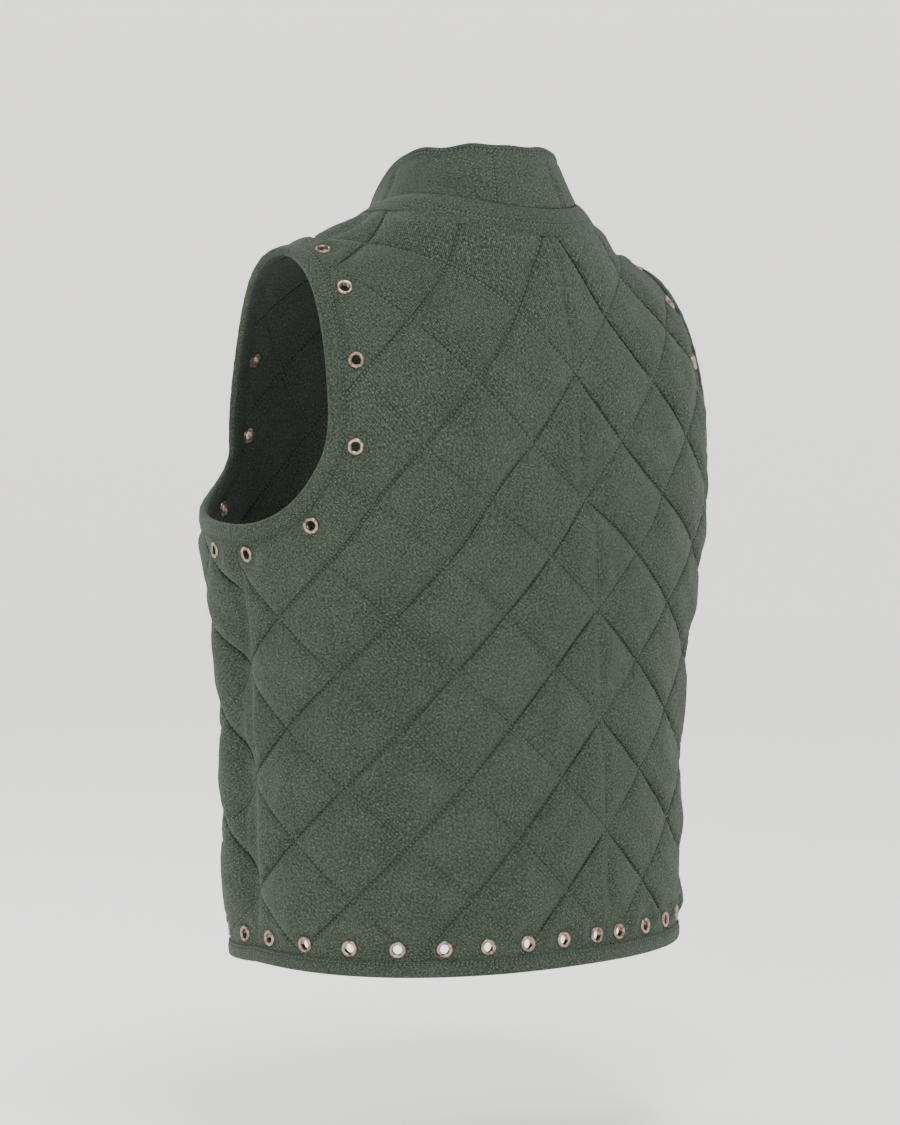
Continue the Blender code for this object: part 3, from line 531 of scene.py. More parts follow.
def quilt_rise(panel, side, points):
    """Height of the padding over the stitched wall, and how far the stitches pull the cloth in.

    The pads are the product of a sine across each set of lines. The second set is pulled in less. Small
    puckers cross each line, and the whole lies flat under trim and eyelets.
    """
    a, b = quilt_axes(points[:, 0], points[:, 1])
    pitch = QUILT_WIDTH * QUILT_HEIGHT / math.hypot(QUILT_WIDTH, QUILT_HEIGHT)
    second = np.abs(np.sin(np.pi * b)) ** SECOND_POWER
    pad = np.abs(np.sin(np.pi * a)) ** FIRST_POWER * (ACROSS_SHARE + (1 - ACROSS_SHARE) * second)
    uneven = 1 + UNEVEN * np.sin(7.3 * a + 3.1 * b + side) * np.sin(4.7 * b - 5.9 * a)
    rise = pad * QUILT_RISE * uneven
    calm = np.ones(len(points))
    for name in ["hem", "armhole", "neck"] + (["middle"] if panel == "front" else []):
        calm *= eased(worn_distance(panel, side, points, PATTERN[panel][name]), TRIM_FLAT, TRIM_CLEAR)
    for name in ("side", "shoulder"):
        calm *= eased(distance_to(points, spaced(PATTERN[panel][name], NEAR_STEP)), 0.0, SEAM_CLEAR)
    if panel == "back":
        calm *= CENTRE_SEAM_SHARE + (1 - CENTRE_SEAM_SHARE) * eased(points[:, 0], 0.0, CENTRE_SEAM_CLEAR)
    places = np.vstack((EYELETS[panel, side]["armhole"], EYELETS[panel, side]["hem"]))
    calm *= eased(distance_to(points, places), EYELET_FLAT, EYELET_CLEAR)
    dip = np.zeros(len(points))
    for line, other, depth in ((a, b, 1.0), (b, a, SECOND_DIP)):
        off = np.abs(line - np.round(line)) * pitch
        dip = np.maximum(dip, depth * STITCH_DIP * np.exp(-((off / DIP_WIDTH) ** 2)))
        wave = np.sin(other * 2 * np.pi * PAD_SIDE / PUCKER_LENGTH + 3 * np.sin(5 * line + 2 * other))
        rise = rise + PUCKER * wave * np.exp(-off / PUCKER_FADE) * (1 - np.exp(-off / PUCKER_START))
    # long soft wrinkles, as worn twill has: waves of uneven length that cross each other
    p, q = points[:, 0] * side, points[:, 1]
    drift = 0.006 * np.sin(q / 0.031 + side) + 0.004 * np.sin(p / 0.023)
    crease = np.sin((p + 0.35 * q + drift) / 0.0062) * np.sin(q / 0.043 + p / 0.071 + side)
    crease = crease + 0.8 * np.sin((0.5 * p - q + drift) / 0.0083 + 1) * np.sin(p / 0.037 - q / 0.052)
    rise = rise + WRINKLE * crease * np.sqrt(np.abs(np.sin(np.pi * a) * np.sin(np.pi * b)))
    return rise * calm, dip * (DIP_UNDER_TRIM + (1 - DIP_UNDER_TRIM) * calm)


def inside(points, loop):
    """Whether each point is inside a closed loop."""
    x, y = points[:, 0, None], points[:, 1, None]
    x0, y0 = loop[:, 0], loop[:, 1]
    x1, y1 = np.roll(x0, -1), np.roll(y0, -1)
    crosses = (y0 > y) != (y1 > y)
    with np.errstate(divide="ignore", invalid="ignore"):
        at = x0 + (y - y0) / (y1 - y0) * (x1 - x0)
    return (crosses & (x < at)).sum(1) % 2 == 1


def ring(panel, side, centre, radius, sides):
    """Pattern corners of a polygon that is regular on the worn cloth."""
    turn = np.arange(sides) * 2 * np.pi / sides
    round_step, up_step = half_steps(panel, side, centre[None])
    first = unit(round_step)
    second = unit(np.cross(np.cross(round_step, up_step), first))
    spokes = first * np.cos(turn)[:, None] + second * np.sin(turn)[:, None]
    return centre + radius * pattern_vectors(panel, side, np.repeat(centre[None], sides, 0), spokes)


def quilt_grid(spacing, corners):
    """Points on a grid that has the stitch lines among its lines."""
    reach = int(2 * (corners[1].max() / QUILT_HEIGHT + corners[0].max() / QUILT_WIDTH) * spacing) + 2
    a, b = np.meshgrid(np.arange(-reach, reach), np.arange(-reach, reach))
    a = a.ravel() / spacing
    b = b.ravel() / spacing
    return np.stack(((a - b) / 2 * QUILT_WIDTH, (a + b) / 2 * QUILT_HEIGHT + QUILT_START), -1)


def fill(loops, free_points):
    """Triangles between an outline, its holes and free points inside."""
    points = np.vstack(loops + [free_points])
    edges = []
    start = 0
    for loop in loops:
        count = len(loop)
        edges += [(start + i, start + (i + 1) % count) for i in range(count)]
        start += count
    made = delaunay_2d_cdt([Vector(point) for point in points], edges, [], 0, 1e-7)
    source = [origins[0] for origins in made[3]]
    triangles = np.array([[source[i] for i in face] for face in made[2]])
    middles = points[triangles].mean(1)
    keep = inside(middles, loops[0])
    for hole in loops[1:]:
        keep &= ~inside(middles, hole)
    return points, triangles[keep]


class Yarn:
    """A value or colour on its way through a material's nodes, so that node maths reads as plain maths."""

    def __init__(self, tree, socket=None):
        self.tree = tree
        self.socket = socket

    def node(self, kind, inputs, output=0, **settings):
        """The output of a new node of a kind, with its settings made first and then its inputs."""
        made = self.tree.nodes.new(kind)
        for key, value in settings.items():
            setattr(made, key, value)
        for key, value in inputs.items():
            if isinstance(value, Yarn):
                self.tree.links.new(value.socket, made.inputs[key])
            else:
                made.inputs[key].default_value = value
        return Yarn(self.tree, made.outputs[output])

    def maths(self, operation, *others):
        return self.node("ShaderNodeMath", dict(enumerate((self, *others))), operation=operation)

    def __add__(self, other):
        return self.maths("ADD", other)

    def __radd__(self, other):
        return self.maths("ADD", other)

    def __sub__(self, other):
        return self.maths("SUBTRACT", other)

    def __rsub__(self, other):
        return (self * -1.0).maths("ADD", other)

    def __mul__(self, other):
        return self.maths("MULTIPLY", other)

    def clear_of(self, low, high):
        """0 below the low value, 1 above the high one, smooth between."""
        return self.node("ShaderNodeMapRange", {0: self, 1: low, 2: high}, interpolation_type="SMOOTHSTEP")

    def mixed(self, first, second):
        """The first colour where this value is 0 and the second where it is 1."""
        return self.node("ShaderNodeMix", {0: self, 6: first, 7: second}, output=2, data_type="RGBA")


def noise(yarn, place, scale, detail=2.0, rough=0.55):
    """Noise of about a feature for each 1/scale metres."""
    inputs = {"Vector": place, "Scale": scale, "Detail": detail, "Roughness": rough}
    return yarn.node("ShaderNodeTexNoise", inputs)


def start_material(name):
    """A material with its Principled shader, and a yarn to begin its maths from."""
    material = bpy.data.materials.new(name)
    material.use_nodes = True
    return material, material.node_tree.nodes["Principled BSDF"], Yarn(material.node_tree)


# the darkest twill colour is also the colour of the painted shade in the stitch grooves
TWILL_DARK_AND_GROOVE_SHADE = (0.005, 0.009, 0.005, 1.0)
TWILL_MAIN = (0.041, 0.056, 0.039, 1.0)
TWILL_LIGHT = (0.170, 0.203, 0.153, 1.0)
THREAD_COLOUR = (0.090, 0.160, 0.130, 1.0)
TWILL_RIB = 0.00210
STITCH = 0.0034
# features for each metre of the cloth
GRAIN = 500.0
FLECKS = 600.0
CLOUDS = 14.0
WORN_PATCHES = 45.0
FUZZ = 320.0
SLUBS = 85.0
# heights of what stands out of the cloth, in metres
WEAVE_RELIEF = 0.00020
GRAIN_RELIEF = 0.00022
FUZZ_RELIEF = 0.0005
SLUB_RELIEF = 0.0011
GROOVE_RELIEF = 0.0010
THREAD_RELIEF = 0.0003


def twill_cloth(name, seams):
    """Cotton twill with flecks of lighter yarn. seams is a function that gives the piece's stitched lines.

    Ribs run at 45 degrees on the piece's own UV, which is its flat pattern in metres. Each seam is a groove
    with a lighter thread in it. Painted shade darkens the colour in the groove, and the cloth is paler where it
    is worn.
    """
    material, shader, yarn = start_material(name)
    flat = yarn.node("ShaderNodeUVMap", {}, uv_map="flat")
    u = yarn.node("ShaderNodeSeparateXYZ", {0: flat})
    v = yarn.node("ShaderNodeSeparateXYZ", {0: flat}, output=1)
    wander = noise(yarn, flat, 900.0, 1.0) * 0.9
    rib = ((u + v) * (2 * math.pi / TWILL_RIB) + wander * 2.2).maths("SINE")
    weft = ((u - v) * (2 * math.pi / (TWILL_RIB * 1.7)) + wander * 3.0).maths("SINE")
    weave = rib * 0.34 + weft * 0.16 + 0.5
    grain = noise(yarn, flat, GRAIN, 2.0, 0.9).clear_of(0.40, 0.60)
    fleck = noise(yarn, flat, FLECKS, 2.0, 0.9).clear_of(0.52, 0.68)
    cloud = noise(yarn, flat, CLOUDS, 3.0).clear_of(0.30, 0.72)
    worn = noise(yarn, flat, WORN_PATCHES, 4.0, 0.65).clear_of(0.45, 0.85)
    groove, thread = seams(yarn, u, v)
    colour = (weave * 0.45 + grain * 0.42 + cloud * 0.13).clear_of(0.08, 0.80).mixed(TWILL_DARK_AND_GROOVE_SHADE, TWILL_MAIN)
    colour = (fleck * (0.25 + weave * 0.50)).mixed(colour, TWILL_LIGHT)
    colour = (worn * 0.08).mixed(colour, TWILL_LIGHT)
    # painted shade: the colour is darkened along the stitch grooves, where shade falls in the dip
    colour = (groove * 0.75).mixed(colour, TWILL_DARK_AND_GROOVE_SHADE)
    colour = (thread * 0.60).mixed(colour, THREAD_COLOUR)
    height = weave * WEAVE_RELIEF + grain * GRAIN_RELIEF
    height = height + noise(yarn, flat, FUZZ, 3.0) * FUZZ_RELIEF + noise(yarn, flat, SLUBS, 2.0) * SLUB_RELIEF
    height = height - groove * GROOVE_RELIEF + thread * THREAD_RELIEF
    bump = yarn.node("ShaderNodeBump", {"Strength": 1.0, "Distance": 1.0, "Height": height})
    for key, value in (("Base Color", colour), ("Normal", bump), ("Roughness", 0.86 + weave * 0.10)):
        yarn.tree.links.new(value.socket, shader.inputs[key])
    shader.inputs["Sheen Weight"].default_value = 0.08
    shader.inputs["Sheen Roughness"].default_value = 0.5
    shader.inputs["Sheen Tint"].default_value = (0.80, 0.92, 0.84, 1.0)
    shader.inputs["Specular IOR Level"].default_value = 0.25
    return material


def line_of_stitches(across, run, width):
    """Groove and thread masks of a stitched line, across it in metres and along it in metres."""
    far = across.maths("ABSOLUTE")
    stitch = (run * (1 / STITCH)).maths("FRACT")
    pulled = (stitch - 0.5).maths("ABSOLUTE") * (width * 1.2)
    # this mask sinks the bump and also paints shade into the colour along the groove
    groove = 1 - (far - pulled).clear_of(width * 0.1, width * 1.5)
    thread = (1 - far.clear_of(0.0003, 0.0006)) * (1 - (stitch - 0.5).maths("ABSOLUTE").clear_of(0.26, 0.36))
    return groove, thread


def diamond_seams(yarn, u, v):
    """The quilting lines, where the sum or the difference of the two pattern shares is a whole number."""
    side = u.maths("ABSOLUTE") * (1 / QUILT_WIDTH)
    up = (v - QUILT_START) * (1 / QUILT_HEIGHT)
    pitch = QUILT_WIDTH * QUILT_HEIGHT / math.hypot(QUILT_WIDTH, QUILT_HEIGHT)
    run = math.hypot(QUILT_WIDTH, QUILT_HEIGHT) / 2
    first, second = up + side, up - side
    sway = noise(yarn, yarn.node("ShaderNodeUVMap", {}, uv_map="flat"), 60.0, 1.0) * 0.0012 - 0.0006
    masks = []
    for line, other in ((first, second), (second, first)):
        off = ((line + 0.5).maths("FRACT") - 0.5) * pitch + sway
        masks.append(line_of_stitches(off, other * run, 0.0010))
    # the second set of lines is pulled in less, so its groove is fainter
    return masks[0][0].maths("MAXIMUM", masks[1][0] * 0.65), masks[0][1].maths("MAXIMUM", masks[1][1])


def put_mesh(name, points, faces, flats, material, sharp=50):
    """A closed mesh piece whose faces point out, with its flat pattern as its UV map."""
    mesh = bpy.data.meshes.new(name)
    mesh.from_pydata(points.tolist(), [], [tuple(face) for face in faces])
    layer = mesh.uv_layers.new(name="flat")
    corner = np.zeros(len(mesh.loops), np.int32)
    mesh.loops.foreach_get("vertex_index", corner)
    layer.data.foreach_set("uv", np.asarray(flats, np.float32)[corner].ravel())
    work = bmesh.new()
    work.from_mesh(mesh)
    if work.calc_volume(signed=True) < 0:
        bmesh.ops.reverse_faces(work, faces=work.faces[:])
    work.to_mesh(mesh)
    work.free()
    mesh.materials.append(material)
    mesh.shade_smooth()
    mesh.set_sharp_from_angle(angle=math.radians(sharp))
    piece = bpy.data.objects.new(name, mesh)
    bpy.context.scene.collection.objects.link(piece)
    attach(piece, "root")
    return piece


BORDER_STEP = 0.0015
GRID_CLEAR = 0.0022
FLAT_CLEAR = 0.0015


def quilted_panel(name, panel, side, material):
    """A panel: its flat pattern filled with points along the stitching, lifted on both faces, closed round."""
    edges = PATTERN[panel]
    outline = np.vstack([edges[key][:-1] for key in ("hem", "side", "armhole", "shoulder", "neck", "middle")])
    centres = np.vstack((EYELETS[panel, side]["armhole"], EYELETS[panel, side]["hem"]))
    holes = [ring(panel, side, centre, EYELET_HOLE, EYELET_HOLE_SIDES)[::-1] for centre in centres]
    flats = np.vstack([ring(panel, side, centre, EYELET_FLAT, EYELET_HOLE_SIDES) for centre in centres])
    grid = quilt_grid(QUILT_STEPS, outline.T)
    grid = grid[inside(grid, outline)]
    border = np.vstack([spaced(line, BORDER_STEP) for line in edges.values()])
    grid = grid[distance_to(grid, border) > GRID_CLEAR]
    grid = grid[distance_to(grid, centres) > EYELET_FLAT + FLAT_CLEAR]
    flats = flats[distance_to(flats, border) > FLAT_CLEAR]
    points, faces = fill([outline] + holes, np.vstack((flats, grid)))
    rise, dip = quilt_rise(panel, side, points)
    p, q = (points * (side, 1.0)).T
    middle = cloth_point(panel, p, q)
    out = cloth_normal(panel, p, q)
    outer = middle + out * (WALL / 2 + rise - dip)[:, None]
    inner = middle - out * (WALL / 2 + rise * INSIDE_RISE - dip * INSIDE_DIP)[:, None]
    shift = len(points)
    rim = []
    start = 0
    for loop in [outline] + holes:
        here = start + np.arange(len(loop))
        after = start + (np.arange(len(loop)) + 1) % len(loop)
        rim += np.stack((after, here, here + shift, after + shift), -1).tolist()
        start += len(loop)
    everything = faces.tolist() + (faces[:, ::-1] + shift).tolist() + rim
    piece = put_mesh(name, np.vstack((outer, inner)), everything, np.vstack((points, points)), material)
    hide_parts(name.replace("quilted_", ""))


quilted_twill = twill_cloth("quilted_twill", diamond_seams)
for side, word in ((1, "left"), (-1, "right")):
    for panel in ("back", "front"):
        quilted_panel(f"quilted_{panel}_{word}", panel, side, quilted_twill)

# Bound edges.
# A folded strip of the same twill wraps each armhole, the hem and the front edges, 11 to 13 mm wide on both
# faces, and is stitched through along its inner edge.

EDGE_PROBE = 0.001
TRIM_LIFT = 0.00008
FOLD_LIFT = 0.0016
BAND_LIFT = 0.0015
SECTION_STEP = 0.0027
RUFFLE = 0.00022


def edge_frames(panel, side, line):
    """Edge points with their direction into the cloth, its face, and the pattern place of each."""
    flip = np.array((side, 1.0))
    back = inward(panel, side, line)
    here = cloth_point(panel, *(line * flip).T)
    step = cloth_point(panel, *((line + back * EDGE_PROBE) * flip).T) - here
    stations = [(panel, side, point, turn) for point, turn in zip(line, back)]
    return here, unit(step), cloth_normal(panel, *(line * flip).T), stations


def loft(rings):
    """Faces between closed sections carried along a path, capped at both ends."""
    count, width = rings.shape[:2]
    i, j = np.meshgrid(np.arange(count - 1), np.arange(width), indexing="ij")
    after = (j + 1) % width
    faces = np.stack((i * width + j, i * width + after, (i + 1) * width + after, (i + 1) * width + j), -1)
    ends = [list(range(width))[::-1], [(count - 1) * width + k for k in range(width)]]
    return faces.reshape(-1, 4).tolist() + ends


def strip_flats(rings):
    """Flat pattern of a lofted strip: length along its path, and length round its section."""
    run, turn = run_along(rings.mean(1)), run_along(rings[len(rings) // 2])
    return np.stack(np.meshgrid(run, turn, indexing="ij"), -1).reshape(-1, 2)


def section(corners):
    """A closed section with its long runs cut into steps of about 3 mm."""
    corners = np.array(corners)
    parts = []
    for here, after in zip(corners, np.roll(corners, -1, 0)):
        count = max(1, int(np.linalg.norm(after - here) / SECTION_STEP))
        parts.append(here + (after - here) * (np.arange(count) / count)[:, None])
    return np.vstack(parts)


def fold_section(wide):
    """Section of a folded strip: a groove for the stitching near each inner edge, and a round fold."""
    near, far = WALL / 2 + TRIM_LIFT, WALL / 2 + FOLD_LIFT
    turn = np.linspace(math.pi / 2, -math.pi / 2, 9)
    fold = np.stack((-0.0018 * np.cos(turn), far * np.sin(turn)), -1)
    face = [(wide, near + 0.0003), (wide - 0.0004, far - 0.0002), (wide - 0.0013, far),
            (wide - 0.0021, far - 0.00045), (wide - 0.0030, far - 0.00005), (wide * 0.5, far + 0.0004)]
    back = [(x, -z) for x, z in face[::-1]]
    under = [(wide, -near), (-0.0002, -near), (-0.0002, near), (wide, near)]
    return section(face + fold.tolist() + back + under)


def strip_rings(frames, offsets):
    """Sections carried along an edge of the cloth: each point goes in by its inset, then off the cloth's face.

    The outer points swell and sink a little along the strip, as folded cloth does under its stitching.
    """
    places, into, out, stations = frames
    line = np.array([point for _, _, point, _ in stations])
    back = np.array([turn for _, _, _, turn in stations])
    panels = np.array([panel for panel, _, _, _ in stations])
    sides = np.array([side for _, side, _, _ in stations], float)
    run = run_along(places)
    swell = RUFFLE * (np.sin(run / 0.0021) * np.sin(run / 0.0093 + 1) + 0.8 * np.sin(run / 0.031))
    rings = np.zeros((len(places), len(offsets), 3))
    for j, (inset, lift) in enumerate(offsets):
        puff = swell * np.sign(lift) * (abs(lift) > WALL / 2 + 0.0006)
        rings[:, j] = places + into * inset + out * (lift + puff)[:, None]
        if inset > 0:
            for panel in ("back", "front"):
                own = panels == panel
                flip = np.stack((sides[own], np.ones(own.sum())), -1)
                p, q = ((line[own] + back[own] * inset) * flip).T
                off_face = cloth_normal(panel, p, q) * (lift + puff[own])[:, None]
                rings[own, j] = cloth_point(panel, p, q) + off_face
    return rings


def joined_frames(edge, runs):
    """Edge frames of one edge of several panels, each a panel, its side and whether it runs backwards."""
    groups, stations = [], []
    for panel, side, backwards in runs:
        made = edge_frames(panel, side, PATTERN[panel][edge])
        order = slice(None, None, -1 if backwards else 1)
        skip = 1 if groups else 0
        groups.append([part[order][skip:] for part in made[:3]])
        stations += made[3][order][skip:]
    return (*[np.vstack(group) for group in zip(*groups)], stations)


def strip_seams(rows):
    """Stitched lines at given distances round the section of a strip."""
    def seams(yarn, u, v):
        masks = [line_of_stitches(v - row, u, 0.0007) for row in rows]
        groove, thread = masks[0]
        for more, stitch in masks[1:]:
            groove, thread = groove.maths("MAXIMUM", more), thread.maths("MAXIMUM", stitch)
        return groove, thread
    return seams


def sewn_strip(name, rings, material, node):
    """A strip of twill laid on or folded over an edge."""
    piece = put_mesh(name, rings.reshape(-1, 3), loft(rings), strip_flats(rings), material, 60)
    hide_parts(node)


BINDING_WIDE = 0.0125
HEM_BINDING_WIDE = 0.0110
FRONT_BINDING_WIDE = 0.0106
BAND_WIDE = 0.018
FRONT_GAP = 0.0014


binding_twill = twill_cloth("binding_twill", strip_seams((0.0026, 0.0250)))
armhole_fold = fold_section(BINDING_WIDE)
for side, word in ((1, "left"), (-1, "right")):
    rings = strip_rings(joined_frames("armhole", (("back", side, False), ("front", side, True))), armhole_fold)
    sewn_strip(f"bound_armhole_{word}", rings, binding_twill, f"binding_armhole_{word}")

hem_fold = fold_section(HEM_BINDING_WIDE)
frames = joined_frames("hem", (("front", 1, False), ("back", 1, True),
                               ("back", -1, False), ("front", -1, True)))
sewn_strip("bound_hem", strip_rings(frames, hem_fold), binding_twill, "binding_hem")

front_fold = fold_section(FRONT_BINDING_WIDE)
front_edge = PATTERN["front"]["middle"]
top_end = front_edge[0, 1] - BAND_WIDE - FRONT_GAP
low_end = front_edge[-1, 1] + HEM_BINDING_WIDE + FRONT_GAP
front_edge = front_edge[(front_edge[:, 1] < top_end) & (front_edge[:, 1] > low_end)]
for side, word in ((1, "left"), (-1, "right")):
    rings = strip_rings(edge_frames("front", side, front_edge), front_fold)
    sewn_strip(f"bound_front_{word}", rings, binding_twill, f"binding_front_{word}")

# Neck band and stand collar.
# A flat strip of twill covers the neck seam, and the collar stands on it: two layers of padded twill that
# lean in, stitched down in upright channels, with a piped top edge.

def band_section():
    """Section of the neck band: flat, with a stitched groove near its lower edge."""
    near, far = WALL / 2 + TRIM_LIFT, WALL / 2 + BAND_LIFT
    wide = BAND_WIDE
    return section([(0.0004, near), (0.0004, far), (wide * 0.4, far + 0.0003), (wide - 0.0030, far),
                    (wide - 0.0021, far - 0.0004), (wide - 0.0012, far), (wide - 0.0002, far - 0.0004),
                    (wide, near)])


COLLAR_THICK = 0.0060
COLLAR_HEIGHT_BACK = 0.052
COLLAR_HEIGHT_FRONT = 0.027
COLLAR_DIP = 0.0065
COLLAR_DIP_AT = 0.75
COLLAR_DIP_WIDTH = 0.15
COLLAR_LEAN = math.radians(24)
COLLAR_CHANNEL = 0.084
COLLAR_SEAM_ASIDE = 0.012
COLLAR_BASE_GAP = 0.00055
COLLAR_ROWS = 22
PIPING = 0.0046
COLLAR_BEND = 0.3
CHANNEL_WIDTH = 0.11
CROWN_SHARE = 0.42
COLLAR_PUFF = 0.0008
COLLAR_PINCH = 0.0015
COLLAR_GROOVE = 0.0009


def collar_rings(frames):
    """Sections of the collar. The middle of the wall follows a quadratic curve from the neck seam, first with
    the cloth and then leaning in, and each face is half the thickness off it. Channels pinch the wall, a
    piping makes the last few millimetres rounder, and the crown is half round.
    """
    places, into, out, _ = frames
    base = places - into * COLLAR_BASE_GAP
    forward = unit(np.gradient(base, axis=0))
    length = run_along(base)
    middle = length[-1] / 2
    behind = np.clip((base[:, 1] - NECK_MIDDLE + NECK_RADIUS) / (2 * NECK_RADIUS), 0, 1)[:, None]
    height = COLLAR_HEIGHT_FRONT + (COLLAR_HEIGHT_BACK - COLLAR_HEIGHT_FRONT) * behind
    # the top edge sinks a little on each side of the nape
    height = height - COLLAR_DIP * np.exp(-((behind - COLLAR_DIP_AT) / COLLAR_DIP_WIDTH) ** 2)
    height = height + 0.0007 * np.sin(length / 0.017 + 1)[:, None] + 0.0005 * np.sin(length / 0.0071)[:, None]
    to_centre = (np.array((0.0, NECK_MIDDLE, 0.0)) - base) * (1, 1, 0)
    lean = unit(to_centre) * math.sin(COLLAR_LEAN) + np.array((0, 0, math.cos(COLLAR_LEAN)))
    channel = np.abs(np.sin(np.pi * ((length - middle + COLLAR_SEAM_ASIDE) / COLLAR_CHANNEL + 0.5)))[:, None]
    pinch = np.exp(-((channel / CHANNEL_WIDTH) ** 2))
    control = base + unit(lean - into) * height * COLLAR_BEND
    top = base + lean * height
    ripple = 1 + 0.4 * np.sin(length / 0.013)[:, None]
    outer, inner = [], []
    for share in np.linspace(0, 1, COLLAR_ROWS):
        spot = base * (1 - share) ** 2 + control * 2 * share * (1 - share) + top * share ** 2
        rise = unit((control - base) * (1 - share) + (top - control) * share)
        face = unit(np.cross(rise, forward))
        face *= np.sign((face * out).sum(1, keepdims=True))
        if share == 0.0:
            face = out
        from_top = (1 - share) * height
        seam = np.exp(-(((from_top - PIPING) / 0.0011) ** 2))
        seam = seam + 0.8 * np.exp(-((from_top - height + 0.001) / 0.0016) ** 2)
        puff = COLLAR_PUFF * np.sin(np.pi * np.clip(share, 0, 1)) * (1 - pinch) * ripple
        pinched = COLLAR_PINCH * pinch * np.clip(from_top / PIPING - 1, 0, 1)
        half = COLLAR_THICK / 2 - pinched - COLLAR_GROOVE * seam + puff
        outer.append(spot + face * half)
        inner.append(spot - face * half)
    turn = np.linspace(math.pi / 2, -math.pi / 2, 9)[1:-1]
    crown = [top + face * COLLAR_THICK / 2 * math.sin(angle) + rise * COLLAR_THICK * CROWN_SHARE * math.cos(angle)
             for angle in turn]
    return np.stack(outer + crown + inner[::-1], 1), length


frames = joined_frames("neck", (("front", 1, True), ("back", 1, False),
                                ("back", -1, True), ("front", -1, False)))
band_offsets = band_section()
band_twill = twill_cloth("band_twill", strip_seams((0.0160,)))
# the worn neck draws the band wider than on the pattern, so the width of its cut is measured across its rings
band_rings = strip_rings(frames, band_offsets)
band_across = band_rings[:, band_offsets[:, 0].argmax()] - band_rings[:, 0]
sewn_strip("sewn_neck_band", band_rings, band_twill, "neck_band")


def collar_seams(yarn, u, v):
    """Upright stitched lines at each channel, and one under the piping on each face."""
    channel = (((u - collar_middle) * (1 / COLLAR_CHANNEL) + 1.0).maths("FRACT") - 0.5) * COLLAR_CHANNEL
    upright = line_of_stitches(channel, v, 0.0009)
    piped = line_of_stitches(v - (COLLAR_HEIGHT_BACK - PIPING), u, 0.0008)
    return upright[0].maths("MAXIMUM", piped[0]), upright[1].maths("MAXIMUM", piped[1])


rings, length = collar_rings(frames)
collar_middle = float(length[-1] / 2) - COLLAR_SEAM_ASIDE
stand = put_mesh("stand_collar", rings.reshape(-1, 3), loft(rings), strip_flats(rings),
                 twill_cloth("collar_twill", collar_seams), 60)
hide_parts("collar")

# Eyelets.
# Two-part eyelets with an antique copper finish, pressed through the cloth: a domed ring on each face and a
# barrel between. They stand round the armholes and along the hem, where laces would go through.

EYELET_BORE = 0.0036
EYELET_RIM = 0.00640
EYELET_CROWN = 0.0013
EYELET_SEGMENTS = 28
EYELET_WALL = 0.0006
EYELET_LIFT = 0.0001


def eyelet_section():
    """Radius and height round the eyelet's wall: a domed ring above, the barrel, a domed ring below."""
    turn = np.linspace(0, math.pi, 9)
    mid, reach = (EYELET_BORE + EYELET_RIM) / 2, (EYELET_RIM - EYELET_BORE) / 2
    low = WALL / 2 + EYELET_LIFT
    upper = np.stack((mid - reach * np.cos(turn), low + EYELET_CROWN * np.sin(turn) ** 0.8), -1)
    barrel = EYELET_BORE + EYELET_WALL
    lower = upper[::-1] * (1, -1)
    return np.vstack((upper, ((barrel, low), (barrel, -low)), lower))


def eyelet_row(row, side, word):
    """The eyelets of one side in one mesh: the section turned about the cloth's direction at each place."""
    profile = eyelet_section()
    turn = np.arange(EYELET_SEGMENTS) * 2 * math.pi / EYELET_SEGMENTS
    width = len(profile)
    points, faces, nodes = [], [], []
    i, j = np.meshgrid(np.arange(EYELET_SEGMENTS), np.arange(width), indexing="ij")
    k, m = (i + 1) % EYELET_SEGMENTS, (j + 1) % width
    quads = np.stack((i * width + j, k * width + j, k * width + m, i * width + m), -1).reshape(-1, 4)
    for panel in ("back", "front"):
        for number, place in enumerate(EYELETS[panel, side][row], 1):
            p, q = place[None].T * np.array(((side,), (1.0,)))
            middle, out = cloth_point(panel, p, q)[0], cloth_normal(panel, p, q)[0]
            first = unit(np.cross(out, (0.0, 0.0, 1.0)))
            second = np.cross(out, first)
            spoke = first * np.cos(turn)[:, None] + second * np.sin(turn)[:, None]
            rings = middle + spoke[:, None, :] * profile[None, :, :1] + out * profile[None, :, 1:]
            faces += (quads + len(points) * EYELET_SEGMENTS * width).tolist()
            points.append(rings.reshape(-1, 3))
            nodes.append(f"eyelet_{row}_{panel}_{word}_{number}")
    points = np.vstack(points)
    piece = put_mesh(f"pressed_eyelets_{row}_{word}", points, faces, np.zeros((len(points), 2)), copper, 70)
    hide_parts(*nodes)


copper, shader, yarn = start_material("antique_copper")
place = yarn.node("ShaderNodeTexCoord", {}, output=3)
patina = noise(yarn, place, 260.0, 4.0, 0.7).clear_of(0.42, 0.68)
scuff = noise(yarn, place, 1500.0, 2.0)
colour = patina.mixed((0.36, 0.27, 0.22, 1.0), (0.11, 0.075, 0.058, 1.0))
yarn.tree.links.new(colour.socket, shader.inputs["Base Color"])
yarn.tree.links.new((0.24 + patina * 0.22 + scuff * 0.08).socket, shader.inputs["Roughness"])
bump = yarn.node("ShaderNodeBump", {"Height": scuff * 0.00008, "Distance": 1.0})
yarn.tree.links.new(bump.socket, shader.inputs["Normal"])
shader.inputs["Metallic"].default_value = 1.0
for row in ("armhole", "hem"):
    for side, word in ((1, "left"), (-1, "right")):
        eyelet_row(row, side, word)

# The studio.
# A pale round bowl whose flat middle is the floor, soft lights and a camera where the photograph's was. The
# bowl stands clear of the camera on every side, so the vest can be looked at from all round.

CAMERA_AZIMUTH = math.radians(140.5)
CAMERA_RISE = math.radians(4.7)
CAMERA_DISTANCE = 3.5
AIM = Vector((0.0, 0.0, -0.256))
AIM_ASIDE = 0.0062

toward = Vector((math.sin(CAMERA_AZIMUTH) * math.cos(CAMERA_RISE),
                 -math.cos(CAMERA_AZIMUTH) * math.cos(CAMERA_RISE), math.sin(CAMERA_RISE)))
picture_right = Vector((math.cos(CAMERA_AZIMUTH), math.sin(CAMERA_AZIMUTH), 0.0))

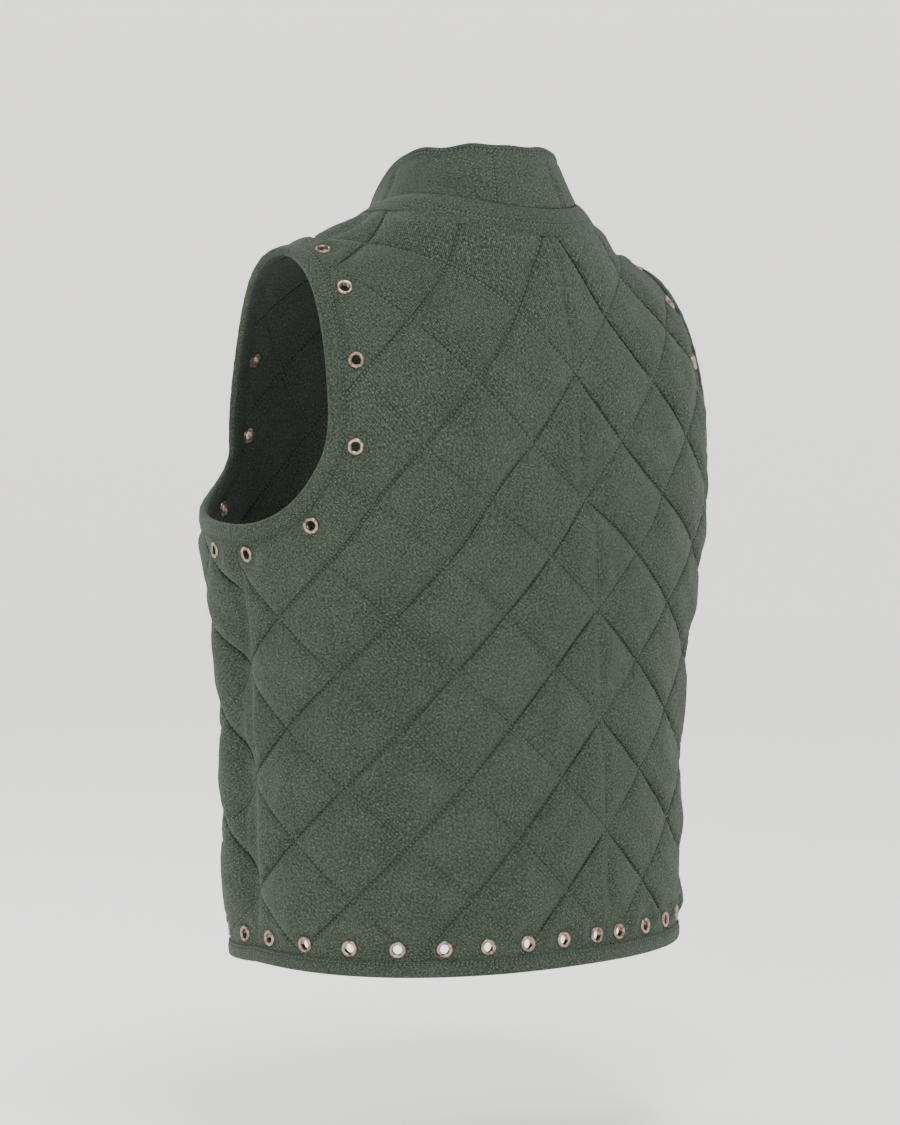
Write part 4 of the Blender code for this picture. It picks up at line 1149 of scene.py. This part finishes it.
FLOOR_LEVEL = -0.72
FLOOR_FLAT = 4.6
BOWL_BEND = 1.5
BOWL_HEIGHT = 3.6
BOWL_SIDES = 96
bend = np.linspace(0, math.pi / 2, 20)
reach = np.concatenate(([1.0], FLOOR_FLAT + BOWL_BEND * np.sin(bend), [FLOOR_FLAT + BOWL_BEND]))
level = np.concatenate(([0.0], BOWL_BEND * (1 - np.cos(bend)), [BOWL_HEIGHT])) + FLOOR_LEVEL
turn = np.arange(BOWL_SIDES) * 2 * math.pi / BOWL_SIDES
x, y, z = np.broadcast_arrays(reach[:, None] * np.cos(turn), reach[:, None] * np.sin(turn), level[:, None])
bowl = np.stack((x, y, z), -1)
i, j = np.meshgrid(np.arange(len(reach) - 1), np.arange(BOWL_SIDES), indexing="ij")
here, after = i * BOWL_SIDES, (j + 1) % BOWL_SIDES
quads = np.stack((here + j, here + BOWL_SIDES + j, here + BOWL_SIDES + after, here + after), -1)
mesh = bpy.data.meshes.new("floor")
mesh.from_pydata(bowl.reshape(-1, 3).tolist(), [], quads.reshape(-1, 4).tolist() + [list(range(BOWL_SIDES))])
mesh.shade_smooth()
paper, shader, yarn = start_material("pale_floor")
shader.inputs["Base Color"].default_value = (0.92, 0.91, 0.885, 1.0)
shader.inputs["Roughness"].default_value = 0.9
shader.inputs["Emission Color"].default_value = (1.0, 0.985, 0.96, 1.0)
shader.inputs["Emission Strength"].default_value = 0.62
mesh.materials.append(paper)
floor = bpy.data.objects.new("floor", mesh)
bpy.context.scene.collection.objects.link(floor)


def soft_light(name, right, up, near, size, power):
    """A square light at a place given in the camera's directions from the aim, turned to the aim."""
    data = bpy.data.lights.new(name, "AREA")
    data.size = size
    data.energy = power
    lamp = bpy.data.objects.new(name, data)
    lamp.location = AIM + picture_right * right + Vector((0, 0, up)) + toward * near
    lamp.rotation_mode = "QUATERNION"
    lamp.rotation_quaternion = (lamp.location - AIM).to_track_quat("Z", "Y")
    bpy.context.scene.collection.objects.link(lamp)


soft_light("key", 0.4, 2.7, 1.3, 1.0, 74)
soft_light("fill", -1.0, 0.4, 3.0, 1.6, 26)
soft_light("rim", -1.2, 1.6, -1.2, 1.0, 22)
world = bpy.data.worlds.new("studio")
bpy.context.scene.world = world
world.use_nodes = True
sky = world.node_tree.nodes["Background"]
sky.inputs["Color"].default_value = (0.95, 0.97, 1.0, 1.0)
sky.inputs["Strength"].default_value = 0.52

lens = bpy.data.cameras.new("camera")
lens.lens = 140.0
lens.sensor_width = 36.0
camera = bpy.data.objects.new("camera", lens)
camera.location = AIM - picture_right * AIM_ASIDE + toward * CAMERA_DISTANCE
camera.rotation_mode = "QUATERNION"
camera.rotation_quaternion = toward.to_track_quat("Z", "Y")
bpy.context.scene.collection.objects.link(camera)
bpy.context.scene.camera = camera
